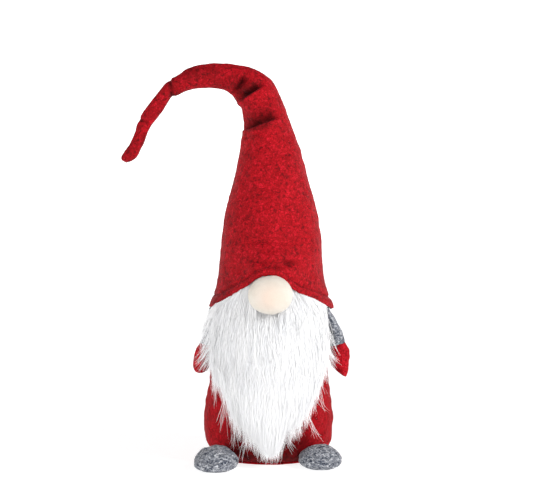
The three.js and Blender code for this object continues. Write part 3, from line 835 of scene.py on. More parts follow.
# the kinks in the drooping end
lump += fold(p, (-83.0, 313.5), (-86.6, 333.5), 2.3, 3.0, 1.0, 1, 0.15) * np.maximum(front, 0.8 * back)
lump += 0.8 * band(p, (-82.4, 334.0), (-79.0, 318.0), 2.0, 0.3) * np.maximum(front, back)
lump -= 0.9 * band(p, (-98.0, 313.5), (-92.0, 306.0), 2.0, 0.3) * front
lump += fold(p, (-103.6, 291.0), (-113.6, 298.0), 1.7, 2.6, 0.9, 1, 0.15) * np.maximum(front, 0.8 * back)
lump -= 0.8 * band(p, (-116.0, 288.0), (-112.5, 276.0), 1.2, 0.3) * front
lump -= 0.6 * band(p, (-70.0, 331.0), (-50.0, 335.0), 2.0, 0.3) * front
# wrinkles over the nose
lump -= 2.6 * blob(p, (-3.0, 173.0), 8.5, 2.0, -12) * front
lump -= 4.0 * blob(p, (17.5, 173.2), 6.5, 2.6, -10) * front
lump -= 2.2 * blob(p, (7.5, 170.6), 6.0, 1.5, -28) * front
lump += 1.2 * blob(p, (8.0, 178.0), 17, 3.0, -6) * front
lump += 0.9 * blob(p, (14.0, 167.0), 12, 2.4, -12) * front
# painted shade in the wrinkles over the nose
shade.append(0.55 * blob(p, (17.5, 173.6), 5.5, 1.9, -10) * front)
shade.append(0.42 * blob(p, (7.0, 170.8), 5.0, 1.2, -28) * front)
shade.append(0.30 * blob(p, (-3.0, 173.4), 7.0, 1.3, -12) * front)
lump -= 1.2 * blob(p, (-25.0, 165.0), 8.0, 2.6, 32) * front
lump -= 0.8 * blob(p, (33.0, 162.0), 8.0, 2.4, -30) * front
# the felt's own unevenness, calmer on the narrow end
calm = smooth(-70, -10, p[..., 0]) * (1 - 0.85 * np.abs(CX)[None, :] ** 3)
lump += (0.16 + 0.5 * calm) * Wobble(3, 46)(p) + (0.1 + 0.14 * calm) * Wobble(4, 15)(p)
lump += 0.08 * Wobble(5, 6)(p)
# the two side seams, where the front and back pieces meet, with a slight pucker
row = np.arange(len(rings))[:, None]
for seam in (-0.10, np.pi + 0.14):
    gap = (ANGLE - seam + np.pi) % (2 * np.pi) - np.pi
    r = np.linalg.norm(rings - rings.mean(1, keepdims=True), axis=2)
    arc = np.abs(gap) * r
    lump -= 0.55 * np.exp(-((arc / 0.8) ** 2)) * (1 + 0.25 * np.sin(row * 1.1))
    lump += 0.28 * np.exp(-(((arc - 2.2) / 1.2) ** 2))
# the hem's stitch line, and the band under it
edge_z = brim_edge(rings[..., 0], CY[None, :])
up = rings[..., 2] - edge_z
low = (np.arange(len(rings)) < 20)[:, None]
lump -= 0.95 * np.exp(-(((up - 6.2) / 0.85) ** 2)) * low
lump += 0.75 * smooth(6.2, 4.0, up) * (0.55 + 0.45 * np.cos(np.clip((up - 3.2) / 3.2, -1, 1) * 1.9)) * low
lump += 0.45 * np.exp(-(((up - 9.2) / 2.0) ** 2)) * low
# painted shade along the hem's stitch groove
shade.append(0.30 * np.exp(-(((up - 6.3) / 0.8) ** 2)) * low)
# the brim waves a little away from the body
lump += 0.8 * np.sin(3.1 * ANGLE[None, :] + 0.8) * smooth(22, 0, up) * low * smooth(-0.3, 0.6, np.abs(CX))[None, :]
hat = rings + n_hat * lump[..., None]
n_hat = grid_normals(hat)
wall = np.where(above < 6.5, 2.9, 1.5)
# painted shade: the narrow end's colour is darkened, patchily, as though it lay in shade
shade.append(0.2 * smooth(-22, -50, p[..., 0]) * (0.75 + 0.5 * Wobble(6, 22)(p)))
# painted shade: all the painted shade marks above together, 0 to 1
painted_shade = np.clip(sum(shade), 0, 1)


def hat_piece(name, i, j, cap, a, b, start, end, *stands_for):
    v, f, n = shell(hat[i : j + 1], n_hat[i : j + 1], wall[i : j + 1], cap_top=cap, rim_round=0.35 if i == 0 else 0.0)
    o = make(name, v, f, HAT_FELT, n)
    w = painted_shade[i : j + 1].ravel()
    set_painted_shade(o, np.concatenate([w, w, np.zeros(len(v) - 2 * len(w))]))
    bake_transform(o)
    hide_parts(*stands_for)
    return o


mid = rings.mean(1)
in_arch = int(np.argmin(np.abs(mid[:, 0] + 55) + 1e3 * (mid[:, 2] < 320)))
in_drop = int(np.argmin(np.linalg.norm(mid - np.array([-98.2, 0, 307.0]), axis=1)))
hat_piece(
    "hat_cone_cover", 0, in_arch, False, "body", "hat_arch", (-4, 0, 306), (-30, 0, 333),
    "hat_cone_felt", "hat_cone_stuffing",
)
hat_piece(
    "hat_arch_cover", in_arch, in_drop, False, "hat_arch", "hat_drop", (-76, 0, 331), (-94, 0, 314),
    "hat_arch_felt", "hat_arch_stuffing", "hat_drop_felt", "hat_drop_stuffing",
)
hat_piece(
    "hat_tip_cover", in_drop, len(rings) - 1, True, "hat_drop", "hat_tip", (-103, 0, 301), (-114, 0, 286),
    "hat_tip_felt", "hat_tip_stuffing",
)


# --------------------------------------------------------------------- stitches
def stitches(name, path, out, length, gap, radius, material, body, lift=0.05):
    """A line of thread stitches along a closed or open path (n, 3), each a small rounded bead of thread lying on the cloth."""
    path, out = np.asarray(path, float), unit(np.asarray(out, float))
    seg = np.linalg.norm(np.diff(path, axis=0), axis=1)
    s = np.concatenate([[0], np.cumsum(seg)])
    verts, faces = [], []
    rings_at = [(-1, 0.02), (-0.86, 0.62), (-0.5, 0.95), (0, 1), (0.5, 0.95), (0.86, 0.62), (1, 0.02)]
    sides = 6
    for k, at in enumerate(np.arange(gap / 2, s[-1] - length, length + gap)):
        m = at + length / 2
        pos = np.array([[np.interp(m + h * length / 2, s, path[:, c]) for c in range(3)] for h, _ in rings_at])
        o = unit(np.array([np.interp(m, s, out[:, c]) for c in range(3)]))
        d = unit(pos[-1] - pos[0])
        w = unit(np.cross(d, o))
        for i, (h, r) in enumerate(rings_at):
            sink = -radius * 0.9 * h * h
            for j in range(sides):
                a = 2 * np.pi * j / sides
                verts.append(
                    pos[i] + o * (lift + sink + radius * r * math.cos(a)) + w * radius * r * math.sin(a)
                )
        base = k * len(rings_at) * sides
        faces += quads(len(rings_at), sides, base)
        faces.append(tuple(base + j for j in range(sides))[::-1])
        faces.append(tuple(base + (len(rings_at) - 1) * sides + j for j in range(sides)))
    o = make(name, verts, faces, material)
    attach(o, body)
    return o


def on_hat(up_mm):
    """The ring on the hat's outer face at a height above the brim's edge, and its normals."""
    pts, nrm = [], []
    for j in range(COLS):
        u = up[:26, j]
        pts.append([np.interp(up_mm, u, hat[:26, j, c]) for c in range(3)])
        nrm.append([np.interp(up_mm, u, n_hat[:26, j, c]) for c in range(3)])
    pts, nrm = np.array(pts + pts[:1]), np.array(nrm + nrm[:1])
    return pts, nrm


line, outn = on_hat(6.2)
stitches("hat_hem_stitches", line, outn, 2.3, 1.3, 0.26, RED_THREAD, "body")


# ------------------------------------------------------------------------ body
def body_r(z):
    return np.interp(z, BODY_Z, BODY_R)


def body_at(th, z, h=0.0, hang=None):
    """A point h outside the body at angle th from its front (towards +X) and height z. hang is a height under which the cloth or hair drops straight."""
    th, z, h = np.broadcast_arrays(np.asarray(th, float), np.asarray(z, float), np.asarray(h, float))
    zz = z if hang is None else np.maximum(z, hang)
    r = body_r(zz)
    slope = (body_r(zz + 1.5) - body_r(zz - 1.5)) / 3
    n = unit(np.stack([np.sin(th), -np.cos(th) / DEPTH, -slope], -1))
    p = np.stack([r * np.sin(th), -DEPTH * r * np.cos(th), z], -1)
    return p + n * h[..., None], n


def body_cover():
    rows = spline([(r, z) for r, z in BODY], 110)
    cols = 132
    a = np.linspace(0, 2 * np.pi, cols, endpoint=False)
    g = np.stack(
        [
            rows[:, 0][:, None] * np.cos(a),
            rows[:, 0][:, None] * np.sin(a) * DEPTH,
            np.repeat(rows[:, 1][:, None], cols, 1),
        ],
        -1,
    )
    n = grid_normals(g)
    z = g[..., 2]
    free = smooth(2, 12, z) * smooth(188, 150, z)
    swell = inflated(
        g, n, "body_fill", 5.0, 3.0, lambda q: (q[:, 2] < 4) | (q[:, 2] > 192) | (np.abs(q[:, 1]) < 2.2)
    )
    d = free * (0.40 * Wobble(11, 52)(g) + 0.25 * Wobble(12, 17)(g)) + 0.06 * Wobble(13, 6)(g)
    d += np.clip(swell, 0, 2.4) * 0.55 * free - 0.35 * (swell.max() > 0.3)
    # side seams with soft puckers
    for seam in (0.0, np.pi):
        gap = (a - seam + np.pi) % (2 * np.pi) - np.pi
        arc = np.abs(gap)[None, :] * rows[:, 0][:, None]
        d -= 0.8 * np.exp(-((arc / 0.9) ** 2)) * smooth(2, 8, z)
        d += 0.35 * np.exp(-(((arc - 2.6) / 1.5) ** 2))
        d += 0.3 * np.exp(-((arc / 7) ** 2)) * np.sin(z / 2.3 + 2 * np.sin(z / 9)) * smooth(2, 10, z)
    # gathered where it meets the base
    d += 0.35 * smooth(16, 5, z) * np.sin(34 * a + 2.5 * np.sin(5 * a))[None, :] * smooth(1.5, 4.5, z)
    g = g + n * d[..., None]
    g[..., 2] = np.maximum(g[..., 2], 1.75)
    n = grid_normals(g)
    v, f, nn = shell(g, n, np.full(len(g), 1.5), cap_top=True, rim_round=0.15)
    o = make("body_cover", v, f, BODY_FELT, nn)
    # painted shade: the felt's colour is darkened low down at the front, where the beard and feet shade it
    low_front_shade = 0.78 * smooth(50, 16, g[..., 2]) * smooth(42, 24, np.abs(g[..., 0])) * smooth(0, -30, g[..., 1])
    low_front_shade = (low_front_shade * (1 + 0.2 * Wobble(14, 14)(g))).ravel()
    set_painted_shade(o, np.concatenate([low_front_shade, low_front_shade, np.zeros(len(v) - 2 * len(low_front_shade))]))
    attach(o, "body")
    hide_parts("body_shell", "body_stuffing")
    return g, n


body_grid, body_norm = body_cover()


def pad(name, loops, material, body, replaced=()):
    """A closed flat pad from its loops of points, bottom middle to top middle."""
    g = np.array(loops)
    rows, cols, _ = g.shape
    v = g.reshape(-1, 3)
    f = quads(rows, cols)
    c0, c1 = len(v), len(v) + 1
    v = np.vstack([v, g[0].mean(0)[None], g[-1].mean(0)[None]])
    for j in range(cols):
        j2 = (j + 1) % cols
        f.append((j2, j, c0))
        f.append(((rows - 1) * cols + j, (rows - 1) * cols + j2, c1))
    o = make(name, v, f, material)
    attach(o, body)
    if replaced:
        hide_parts(*replaced)
    return o


def disc_loops(radius, depth_share, z0, z1, seed, turn=0.0, at=(0, 0), long=1.0, edge=0.5, cols=96):
    a = np.linspace(0, 2 * np.pi, cols, endpoint=False)
    loops = []
    wob = Wobble(seed, 24)
    prof = [(r, z0) for r in np.linspace(0.15, 1, 9)[:-1]]
    prof += [(1 - edge / radius, z0), (1 - 0.3 * edge / radius, z0 + 0.3 * edge), (1, (z0 + z1) / 2)]
    prof += [(1 - 0.3 * edge / radius, z1 - 0.3 * edge), (1 - edge / radius, z1)]
    prof += [(r, z1) for r in np.linspace(1, 0.15, 9)[1:]]
    for r, z in prof:
        x, y = radius * r * np.cos(a), radius * r * long * depth_share * np.sin(a)
        c, s = math.cos(math.radians(turn)), math.sin(math.radians(turn))
        q = np.stack([x * c - y * s + at[0], x * s + y * c + at[1], np.full_like(x, z)], 1)
        k = 0.12 * wob(q) * (z > z0 + 0.1)
        q[:, 2] += k
        loops.append(q)
    return loops


pad("base_disc_felt", disc_loops(45.2, DEPTH, 0.0, 1.6, 21), BODY_FELT, "body", ("base_disc",))
a = np.linspace(0, 2 * np.pi, 181)
ring_p = np.stack([46.4 * np.cos(a), 46.4 * DEPTH * np.sin(a), np.full_like(a, 2.6)], 1)
ring_n = np.stack([np.cos(a), np.sin(a), -0.9 * np.ones_like(a)], 1)
stitches("base_seam_stitches", ring_p, ring_n, 2.6, 1.5, 0.28, RED_THREAD, "body", 0.0)


# ------------------------------------------------------------------------ feet
def foot(side, x, y, turn, half, long):
    cols = 84
    a = np.linspace(0, 2 * np.pi, cols, endpoint=False)
    prof = spline(FOOT, 44)
    c, s = math.cos(math.radians(turn)), math.sin(math.radians(turn))
    g = []
    for r, z in prof:
        # broader at the toe than at the heel
        ex = half * r * np.cos(a)
        ey = half * long * r * np.sin(a)
        ex = ex * (1 + 0.05 * -np.sin(a))
        g.append(np.stack([ex * c - ey * s + x, ex * s + ey * c + y, np.full(cols, z)], 1))
    g = np.array(g)
    n = grid_normals(g)
    z = g[..., 2]
    swell = inflated(g, n, side + "_foot_fill", 3.0, 2.0, lambda q: np.abs(q[:, 2] - 6.6) < 1.4)
    d = np.clip(swell, 0, 1.2) * 0.5
    d += smooth(1, 6, z) * (0.45 * Wobble(31 + len(side), 22)(g) + 0.22 * Wobble(33 + len(side), 9)(g))
    d += 0.07 * Wobble(35, 4)(g)
    # the seam round the widest line, drawn in between its stitches
    d -= 0.75 * np.exp(-(((z - 6.6) / 0.7) ** 2)) * (1 + 0.35 * np.sin(46 * a)[None, :])
    d += 0.3 * np.exp(-(((z - 8.4) / 1.2) ** 2)) + 0.3 * np.exp(-(((z - 4.8) / 1.1) ** 2))
    g = g + n * d[..., None]
    g[..., 2] = np.maximum(g[..., 2], 0.35)
    # pressed flat where it is glued to the body
    th = np.arctan2(g[..., 0], -g[..., 1] / DEPTH)
    zz = np.clip(g[..., 2], 0, 40)
    r_here = np.hypot(g[..., 0], g[..., 1] / DEPTH)
    r_min = body_r(np.maximum(zz, 2.0)) + 0.35
    push = np.maximum(r_min - r_here, 0)
    g[..., 0] += push * np.sin(th)
    g[..., 1] -= push * np.cos(th) * DEPTH
    n = grid_normals(g)
    v, f, nn = shell(g, n, np.full(len(g), 1.3), cap_top=True, rim_round=0.1)
    o = make(side + "_foot_cover", v, f, GREY_FELT, nn)
    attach(o, "body")
    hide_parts(side + "_foot_upper", side + "_foot_stuffing")
    pad(
        side + "_foot_sole_felt",
        disc_loops(0.735 * half, 1.0, 0.0, 1.5, 41, turn, (x, y), long, 0.5, 64),
        GREY_FELT,
        "body",
        (side + "_foot_sole",),
    )


for side, place in FEET.items():
    foot(side, *place)


# ------------------------------------------------------------------------ arms
def limb(side, part, rows_n, deep, seed, closed_start, closed_end):
    rows = spline(ARMS[side][part], rows_n)
    cols = 64
    a = np.linspace(0, 2 * np.pi, cols, endpoint=False)
    sgn = 1 if side == "left" else -1
    g = []
    for i, (xi, zi, xo, zo) in enumerate(rows):
        inner, outer = np.array([xi, ARM_Y, zi]), np.array([xo, ARM_Y, zo])
        c, w = (inner + outer) / 2, np.linalg.norm(outer - inner) / 2
        s = (outer - inner) / (2 * w)
        d = np.interp(i / (rows_n - 1), *zip(*deep))
        g.append(c + np.cos(a)[:, None] * s * w + sgn * np.sin(a)[:, None] * np.array([0, 1, 0]) * d)
    g = np.array(g)[::-1]  # from the fingertip up, so that the rings run outwards
    n = grid_normals(g)
    if np.einsum("ijk,ijk->", n, g - g.mean(1, keepdims=True)) < 0:
        g = g[:, ::-1]
        n = grid_normals(g)
    d = 0.3 * Wobble(seed, 17)(g) + 0.14 * Wobble(seed + 1, 7)(g)
    # the seam along both edges of the mitten or sleeve
    edge = np.abs(g[..., 1] - ARM_Y)
    d -= 0.45 * np.exp(-((edge / 0.7) ** 2))
    inward = np.clip((-n[..., 0] * sgn), 0, 1)
    d = np.where(inward > 0.3, np.minimum(d, 0.0), d)
    if closed_start:
        d = d * smooth(-0.5, 14, 131 - g[..., 2]) - (0.5 if side == "left" else 0.3) * smooth(9, 3, 131 - g[..., 2])
    g = g + n * d[..., None]
    return g, grid_normals(g)


def tube(name, g, n, material, body, wall, cap_bottom, cap_top, stands_for):
    v, f, nn = shell(g, n, np.full(len(g), wall), cap_bottom=cap_bottom, cap_top=cap_top, rim_round=0.25)
    o = make(name, v, f, material, nn)
    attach(o, body)
    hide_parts(*stands_for)
    return o


for side in ("left", "right"):
    sg, sn = limb(side, "sleeve", 40, [(0, 1.2), (0.1, 4.2), (0.25, 6.2), (0.5, 7.1), (1, 7.0)], 51, True, False)
    tube(
        side + "_sleeve_cover", sg, sn, GREY_FELT, side + "_arm", 1.2, False, True,
        (side + "_sleeve", side + "_sleeve_stuffing"),
    )
    mg, mn_ = limb(
        side, "mitten", 44, [(0, 7.0), (0.15, 7.0), (0.35, 6.9), (0.6, 6.2), (0.8, 4.8), (0.93, 3.0), (1, 1.9)],
        57, False, True,
    )
    tube(
        side + "_mitten_cover", mg, mn_, MITTEN_FELT, side + "_arm", 1.2, True, False,
        (side + "_mitten", side + "_mitten_stuffing"),
    )
    ring = np.vstack([mg[-1], mg[-1][:1]]) + np.array([0, 0, 0.0])
    rn = np.vstack([mn_[-1], mn_[-1][:1]])
    stitches(side + "_cuff_stitches", ring, rn, 1.7, 0.9, 0.22, RED_THREAD, side + "_arm", 0.02)


# ------------------------------------------------------------------- shoulder tabs
def tab(side):
    s = 1 if side == "left" else -1
    path = [(44.4, 147), (46.4, 140), (49.2, 134), (51.0, 131.4)] if s > 0 else [(43.7, 147), (45, 140), (47.8, 134), (49.4, 131.4)]
    pts = spline([(s * x, z) for x, z in path], 14)
    ys = np.linspace(ARM_Y - 4.5, ARM_Y + 4.5, 9)
    g = np.array([[(x - s * 0.012 * (y - ARM_Y) ** 2, y, z) for y in ys] for x, z in pts])
    d = np.array([0.55, 0, 0])
    o = closed_strip(side + "_sleeve_tab_felt", g + d, g - d, GREY_FELT)
    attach(o, "body")
    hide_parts(side + "_sleeve_tab")


tab("left")
tab("right")


# ------------------------------------------------------------------------ nose
def nose():
    rows, cols = 64, 96
    t = np.linspace(-np.pi / 2 + 0.03, np.pi / 2 - 0.03, rows)
    a = np.linspace(0, 2 * np.pi, cols, endpoint=False)
    g = np.zeros((rows, cols, 3))
    g[..., 0] = np.cos(t)[:, None] * np.cos(a)
    g[..., 2] = np.cos(t)[:, None] * np.sin(a)
    g[..., 1] = np.sin(t)[:, None]  # from the front pole to the back
    q = g * NOSE + NOSE_AT
    n = grid_normals(q)
    if np.einsum("ijk,ijk->", n, g) < 0:
        q, g = q[:, ::-1], g[:, ::-1]
        n = grid_normals(q)
    d = 0.22 * Wobble(61, 24)(q) + 0.05 * Wobble(62, 7)(q)
    # gathers at the back, round the knot
    d += 0.5 * smooth(0.55, 0.95, g[..., 1]) * np.sin(13 * np.arctan2(g[..., 2], g[..., 0]))
    # pressed under the brim
    d -= 0.5 * smooth(0.72, 0.98, g[..., 2]) * smooth(0.4, -0.2, g[..., 1])
    q = q + n * d[..., None]
    n = grid_normals(q)
    v, f, nn = shell(q, n, np.full(rows, 0.8), cap_top=True, cap_bottom=True)
    o = make("nose_cloth", v, f, NOSE_CLOTH, nn)
    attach(o, "body")
    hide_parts("nose_cover", "nose_stuffing")


nose()

# ----------------------------------------------------------------------- beard
HINGE_Z = 126.0


def fur_depth(th, z):
    """How far the outermost hair stands off the body."""
    f = np.interp(z, [0, 10, 24, 45, 70, 100, 126, 150, 170], [8.5, 10.5, 12, 14.5, 16.5, 16.5, 14.5, 10.5, 7])
    s = np.interp(z, [0, 24, 45, 126, 150, 170], [3.5, 7, 8.5, 9.5, 7, 5])
    return s + (f - s) * np.cos(th) ** 2


def under_hat(th, z, x):
    """The most that hair may stand off the body where the hat comes down over it."""
    zc = np.maximum(z, 133)
    lo, hi = table(HAT_SIDES_LOW, zc, 1), table(HAT_SIDES_LOW, zc, 2)
    w, c = (hi - lo) / 2, (hi + lo) / 2
    bulge = np.exp(-((th / 0.62) ** 2)) * smooth(200, 163, zc)
    hat_r = np.hypot(c + w * np.sin(th), (0.95 * w + 9 * bulge) * np.cos(th))
    hat_r = np.where(np.sin(th) < 0, np.hypot(c - w * np.abs(np.sin(th)), (0.95 * w + 9 * bulge) * np.cos(th)), hat_r)
    r = body_r(zc)
    room = hat_r - np.hypot(r * np.sin(th), DEPTH * r * np.cos(th)) - 3.4
    below = np.maximum(np.minimum(table(BRIM, x), table(BRIM, 1.14 * x)) - 2.2 - z, 0)
    return np.maximum(room - 0.4, 0.6) + 1.2 * below


def underfur(name, z_top, z_low_by_x, half, stands_for, thin=0.55):
    """The closed mat of hair roots that the long hair lies on."""
    cols, rows = 90, 80
    ths = np.linspace(-half, half, cols)
    g = []
    for k in np.linspace(0, 1, rows):
        x_guess = body_r(90) * np.sin(ths)
        z_low = z_low_by_x(x_guess)
        z = z_low + k * (z_top - z_low)
        edge = np.minimum(1, (1 - np.abs(ths) / half) * 6 + 0.12)
        edge *= smooth(-0.02, 0.1, k) * 0.9 + 0.1
        h = 0.5 + fur_depth(ths, z) * thin * edge
        h = np.minimum(h, under_hat(ths, z, body_r(z) * np.sin(ths)) - 0.8)
        q, _ = body_at(ths, z, h, hang=24)
        lock = 0.7 * Wobble(71, 9)(q * np.array([1, 1, 0.16])) + 0.4 * Wobble(72, 4)(q * np.array([1, 1, 0.12]))
        q2, nrm = body_at(ths, z, np.maximum(h + lock * edge, 1.1), hang=24)
        g.append(q2)
    g = np.array(g)
    inner, _ = body_at(ths, g[..., 2], 0.75, hang=24)
    o = closed_strip(name, g, inner, UNDERFUR)
    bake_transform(o)
    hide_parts(*stands_for)
    return o


underfur(
    "beard_underfur",
    166.0,
    lambda x: np.maximum(np.interp(x, [-44, -36, -22, 0, 24, 38, 44], [92, 70, 54, 46, 54, 70, 92]), table(BEARD_END, x) + 34),
    1.08,
    ("beard_pile", "beard_top_pile", "beard_top_backing"),
)

TONES = 48


def hair_mesh(name, roots, rng, width=(0.42, 0.78), segments=6):
    """Tapering strips of hair. roots is a list of (points (n, 3), outward normals (n, 3), tone) arrays already sampled at segments + 1 places."""
    pts = np.array([r[0] for r in roots])
    out = np.array([r[1] for r in roots])
    tone = np.array([r[2] for r in roots])
    count, k, _ = pts.shape
    tan = unit(np.gradient(pts, axis=1))
    across = unit(np.cross(tan, out))
    tilt = np.clip(rng.normal(0, 0.5, (count, 1, 1)), -1.1, 1.1)
    face = unit(np.cross(across, tan))
    w_dir = across * np.cos(tilt) + face * np.sin(tilt)
    t = np.linspace(0, 1, k)
    prof = np.interp(t, [0, 0.15, 0.6, 0.88, 1], [0.6, 1, 0.95, 0.55, 0.08])
    w = rng.uniform(*width, (count, 1)) * prof
    a = pts + w_dir * (w / 2)[..., None]
    b = pts - w_dir * (w / 2)[..., None]
    v = np.stack([a, b], 2).reshape(-1, 3)
    nrm = unit(out + 0.13 * w_dir * rng.normal(0, 1, (count, 1, 1)) + 0.07 * tan * rng.normal(0, 1, (count, 1, 1)))
    nv = np.repeat(nrm[:, :, None, :], 2, 2).reshape(-1, 3)
    base = (np.arange(count) * k * 2)[:, None, None]
    i = np.arange(k - 1)[None, :, None] * 2
    quad = np.array([0, 2, 3, 1])[None, None, :]
    loops = (base + i + quad).reshape(-1)
    me = bpy.data.meshes.new(name)
    nf = count * (k - 1)
    me.vertices.add(len(v))
    me.vertices.foreach_set("co", (v * MM).astype(np.float32).ravel())
    me.loops.add(nf * 4)
    me.loops.foreach_set("vertex_index", loops.astype(np.int32))
    me.polygons.add(nf)
    me.polygons.foreach_set("loop_start", (np.arange(nf) * 4).astype(np.int32))
    me.polygons.foreach_set("use_smooth", np.ones(nf, bool))
    me.update(calc_edges=True)
    uv = me.uv_layers.new(name="OFBake")
    column = np.floor(np.clip(tone, 0, 0.999) * TONES)
    side = np.array([0.12, 0.12, 0.88, 0.88])
    u = (column[:, None, None] + side[None, None, :]) / TONES
    u = np.broadcast_to(u, (count, k - 1, 4))
    row_v = np.array([0, 1, 1, 0])[None, None, :]
    vv = (np.arange(k - 1)[None, :, None] + row_v) / (k - 1)
    vv = np.broadcast_to(vv * 0.98 + 0.01, (count, k - 1, 4))
    uv.data.foreach_set("uv", np.stack([u, vv], -1).astype(np.float32).ravel())
    me.normals_split_custom_set_from_vertices(nv.tolist())
    o = bpy.data.objects.new(name, me)
    bpy.context.collection.objects.link(o)
    me.materials.append(FUR)
    return o


def flow(x, z):
    """The hair's lean from straight down, in radians, positive towards +X."""
    outward = np.interp(z, [0, 40, 75, 105, 130, 160], [-0.13, -0.13, -0.08, 0.04, 0.22, 0.40])
    return outward * np.clip(x / 40, -1.25, 1.25)


SIDE_LIMIT = [
    (0, -46, 44),
    (40, -48, 47),
    (60, -50.5, 49),
    (84, -50, 51),
    (100, -49, 51),
    (118, -52, 49.5),
    (127, -53.5, 50),
    (136, -51.5, 52),
    (170, -50, 52),
]


def grow(name, seed, z_range, th_half, clumps, per_clump, length, widths, lift=(0.6, 1.0), spread=2.5, keep=None):
    """Long hair in locks: each hair leaves the skin, lies over by its own weight and closes on its lock's line. It returns the piece."""
    rng = np.random.default_rng(seed)
    c_th = rng.uniform(-th_half, th_half, clumps)
    c_z = rng.uniform(*z_range, clumps)
    m = keep(body_r(c_z) * np.sin(c_th), c_z)
    c_th, c_z = c_th[m], c_z[m]
    clumps = len(c_th)
    c_lean = rng.normal(0, 0.09, clumps)
    c_wave = rng.uniform(0, 6.28, clumps)
    c_tone = rng.normal(0.62, 0.17, clumps)
    c_lift = rng.uniform(*lift, clumps)
    c_len = rng.uniform(0.86, 1.12, clumps)
    c_jag = rng.gamma(1.2, 7.5, clumps)
    i = np.repeat(np.arange(clumps), per_clump)
    n = len(i)
    off_a = rng.normal(0, spread, n)
    off_z = rng.normal(0, spread * 1.1, n)
    th0 = c_th[i] + off_a / 48.0
    z0 = c_z[i] + off_z
    x0 = body_r(z0) * np.sin(th0)
    L = length * c_len[i] * rng.uniform(0.8, 1.08, n) * (1 + 0.35 * np.exp(-(((x0 - 2) / 13) ** 2)))
    lift_i = np.clip(c_lift[i] + rng.normal(0, 0.09, n), 0.15, 1.08)
    stray = rng.random(n) < 0.05
    own = rng.normal(0, 0.045, n) + np.where(stray, rng.normal(0, 0.2, n), 0)
    pull = np.where(stray, 0.1, rng.uniform(0.5, 0.85, n))
    jag = np.where(rng.random(n) < 0.04, rng.uniform(-2, 16, n), 15 + rng.gamma(1.2, 3.4, n))
    jag = np.maximum(jag + 0.75 * (c_jag[i] - 9), 0)
    near_nose = (np.abs(body_r(z0) * np.sin(th0) - NOSE_AT[0]) < 23) & (z0 > 112) & (z0 < 140)
    rise = np.where(near_nose, 0.16, 0.42)
    edge_jag = rng.normal(0, 1.3, n)
    steps = 5

    def run(L):
        pts, nrm = np.zeros((n, steps + 1, 3)), np.zeros((n, steps + 1, 3))
        th, z = th0.copy(), z0.copy()
        for s in range(steps + 1):
            t = s / steps
            h = fur_depth(th, np.clip(z, 3, 170)) * lift_i * (1 - (1 - np.minimum(t / rise, 1)) ** 2)
            h = h * (1 - 0.14 * t * t) + 0.5 + np.where(stray, 1.4 * t, 0)
            ths = th - pull * (t**1.3) * off_a / 50.0
            h = np.minimum(h, under_hat(ths, z, body_r(z) * np.sin(ths)))
            q, m = body_at(ths, np.maximum(z, 1.0), h, hang=24)
            pts[:, s], nrm[:, s] = q, m
            lean = flow(q[:, 0], z) + c_lean[i] + own + 0.15 * np.sin(2.6 * t + c_wave[i])
            r = body_r(np.maximum(z, 24)) + h
            th = th + (L / steps) * np.sin(lean) / r
            z = z - (L / steps) * np.cos(lean)
        return pts, nrm

    for _ in range(3):
        pts, nrm = run(L)
        x, z = pts[..., 0], pts[..., 2]
        ragged = jag[:, None] * np.interp(z, [45, 90], [1.0, 0.6]) * (1 - 0.45 * np.exp(-(((x - 2.5) / 8) ** 2)))
        room = np.minimum(z - table(BEARD_END, x) - ragged, z - 1.05)
        room = np.minimum(room, x - table(SIDE_LIMIT, z, 1) + edge_jag[:, None])
        room = np.minimum(room, table(SIDE_LIMIT, z, 2) + edge_jag[:, None] - x)
        bad = room < 0
        first = np.maximum(bad.argmax(1), 1)
        m0 = np.take_along_axis(room, first[:, None] - 1, 1)[:, 0]
        m1 = np.take_along_axis(room, first[:, None], 1)[:, 0]
        cut = first - 1 + np.clip(m0 / np.maximum(m0 - m1, 1e-6), 0, 1) * 0.97
        L = L * np.where(bad.any(1), np.clip(cut / steps, 0.02, 1), 1.0)
    in_nose = ((((pts - NOSE_AT) / (NOSE * 0.88)) ** 2).sum(-1) < 1).any(1)
    good = (L > 12) & ~in_nose
    tone = np.clip(c_tone[i] + rng.normal(0, 0.13, n), 0, 1)
    o = hair_mesh(name, list(zip(pts[good], nrm[good], tone[good])), rng, widths, steps)
    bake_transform(o)
    return o


def inside_backing(x, z):
    low = np.interp(x, [-44, -36, -22, 0, 24, 38, 44], [98, 74, 58, 50, 58, 74, 98])
    brim = table(BRIM, x) + 5
    nose = ((x - NOSE_AT[0]) / 14) ** 2 + ((z - NOSE_AT[2]) / 12) ** 2 < 1
    return (z > low) & (z < brim) & ~nose


grow("beard_hair_lower", 101, (44, 92), 1.0, 760, 48, 50, (0.18, 0.38), keep=inside_backing)
grow("beard_hair_middle", 102, (84, 128), 1.04, 700, 48, 52, (0.18, 0.38), keep=inside_backing)
grow("beard_hair_upper", 103, (118, 168), 1.16, 1000, 44, 52, (0.18, 0.38), keep=inside_backing)


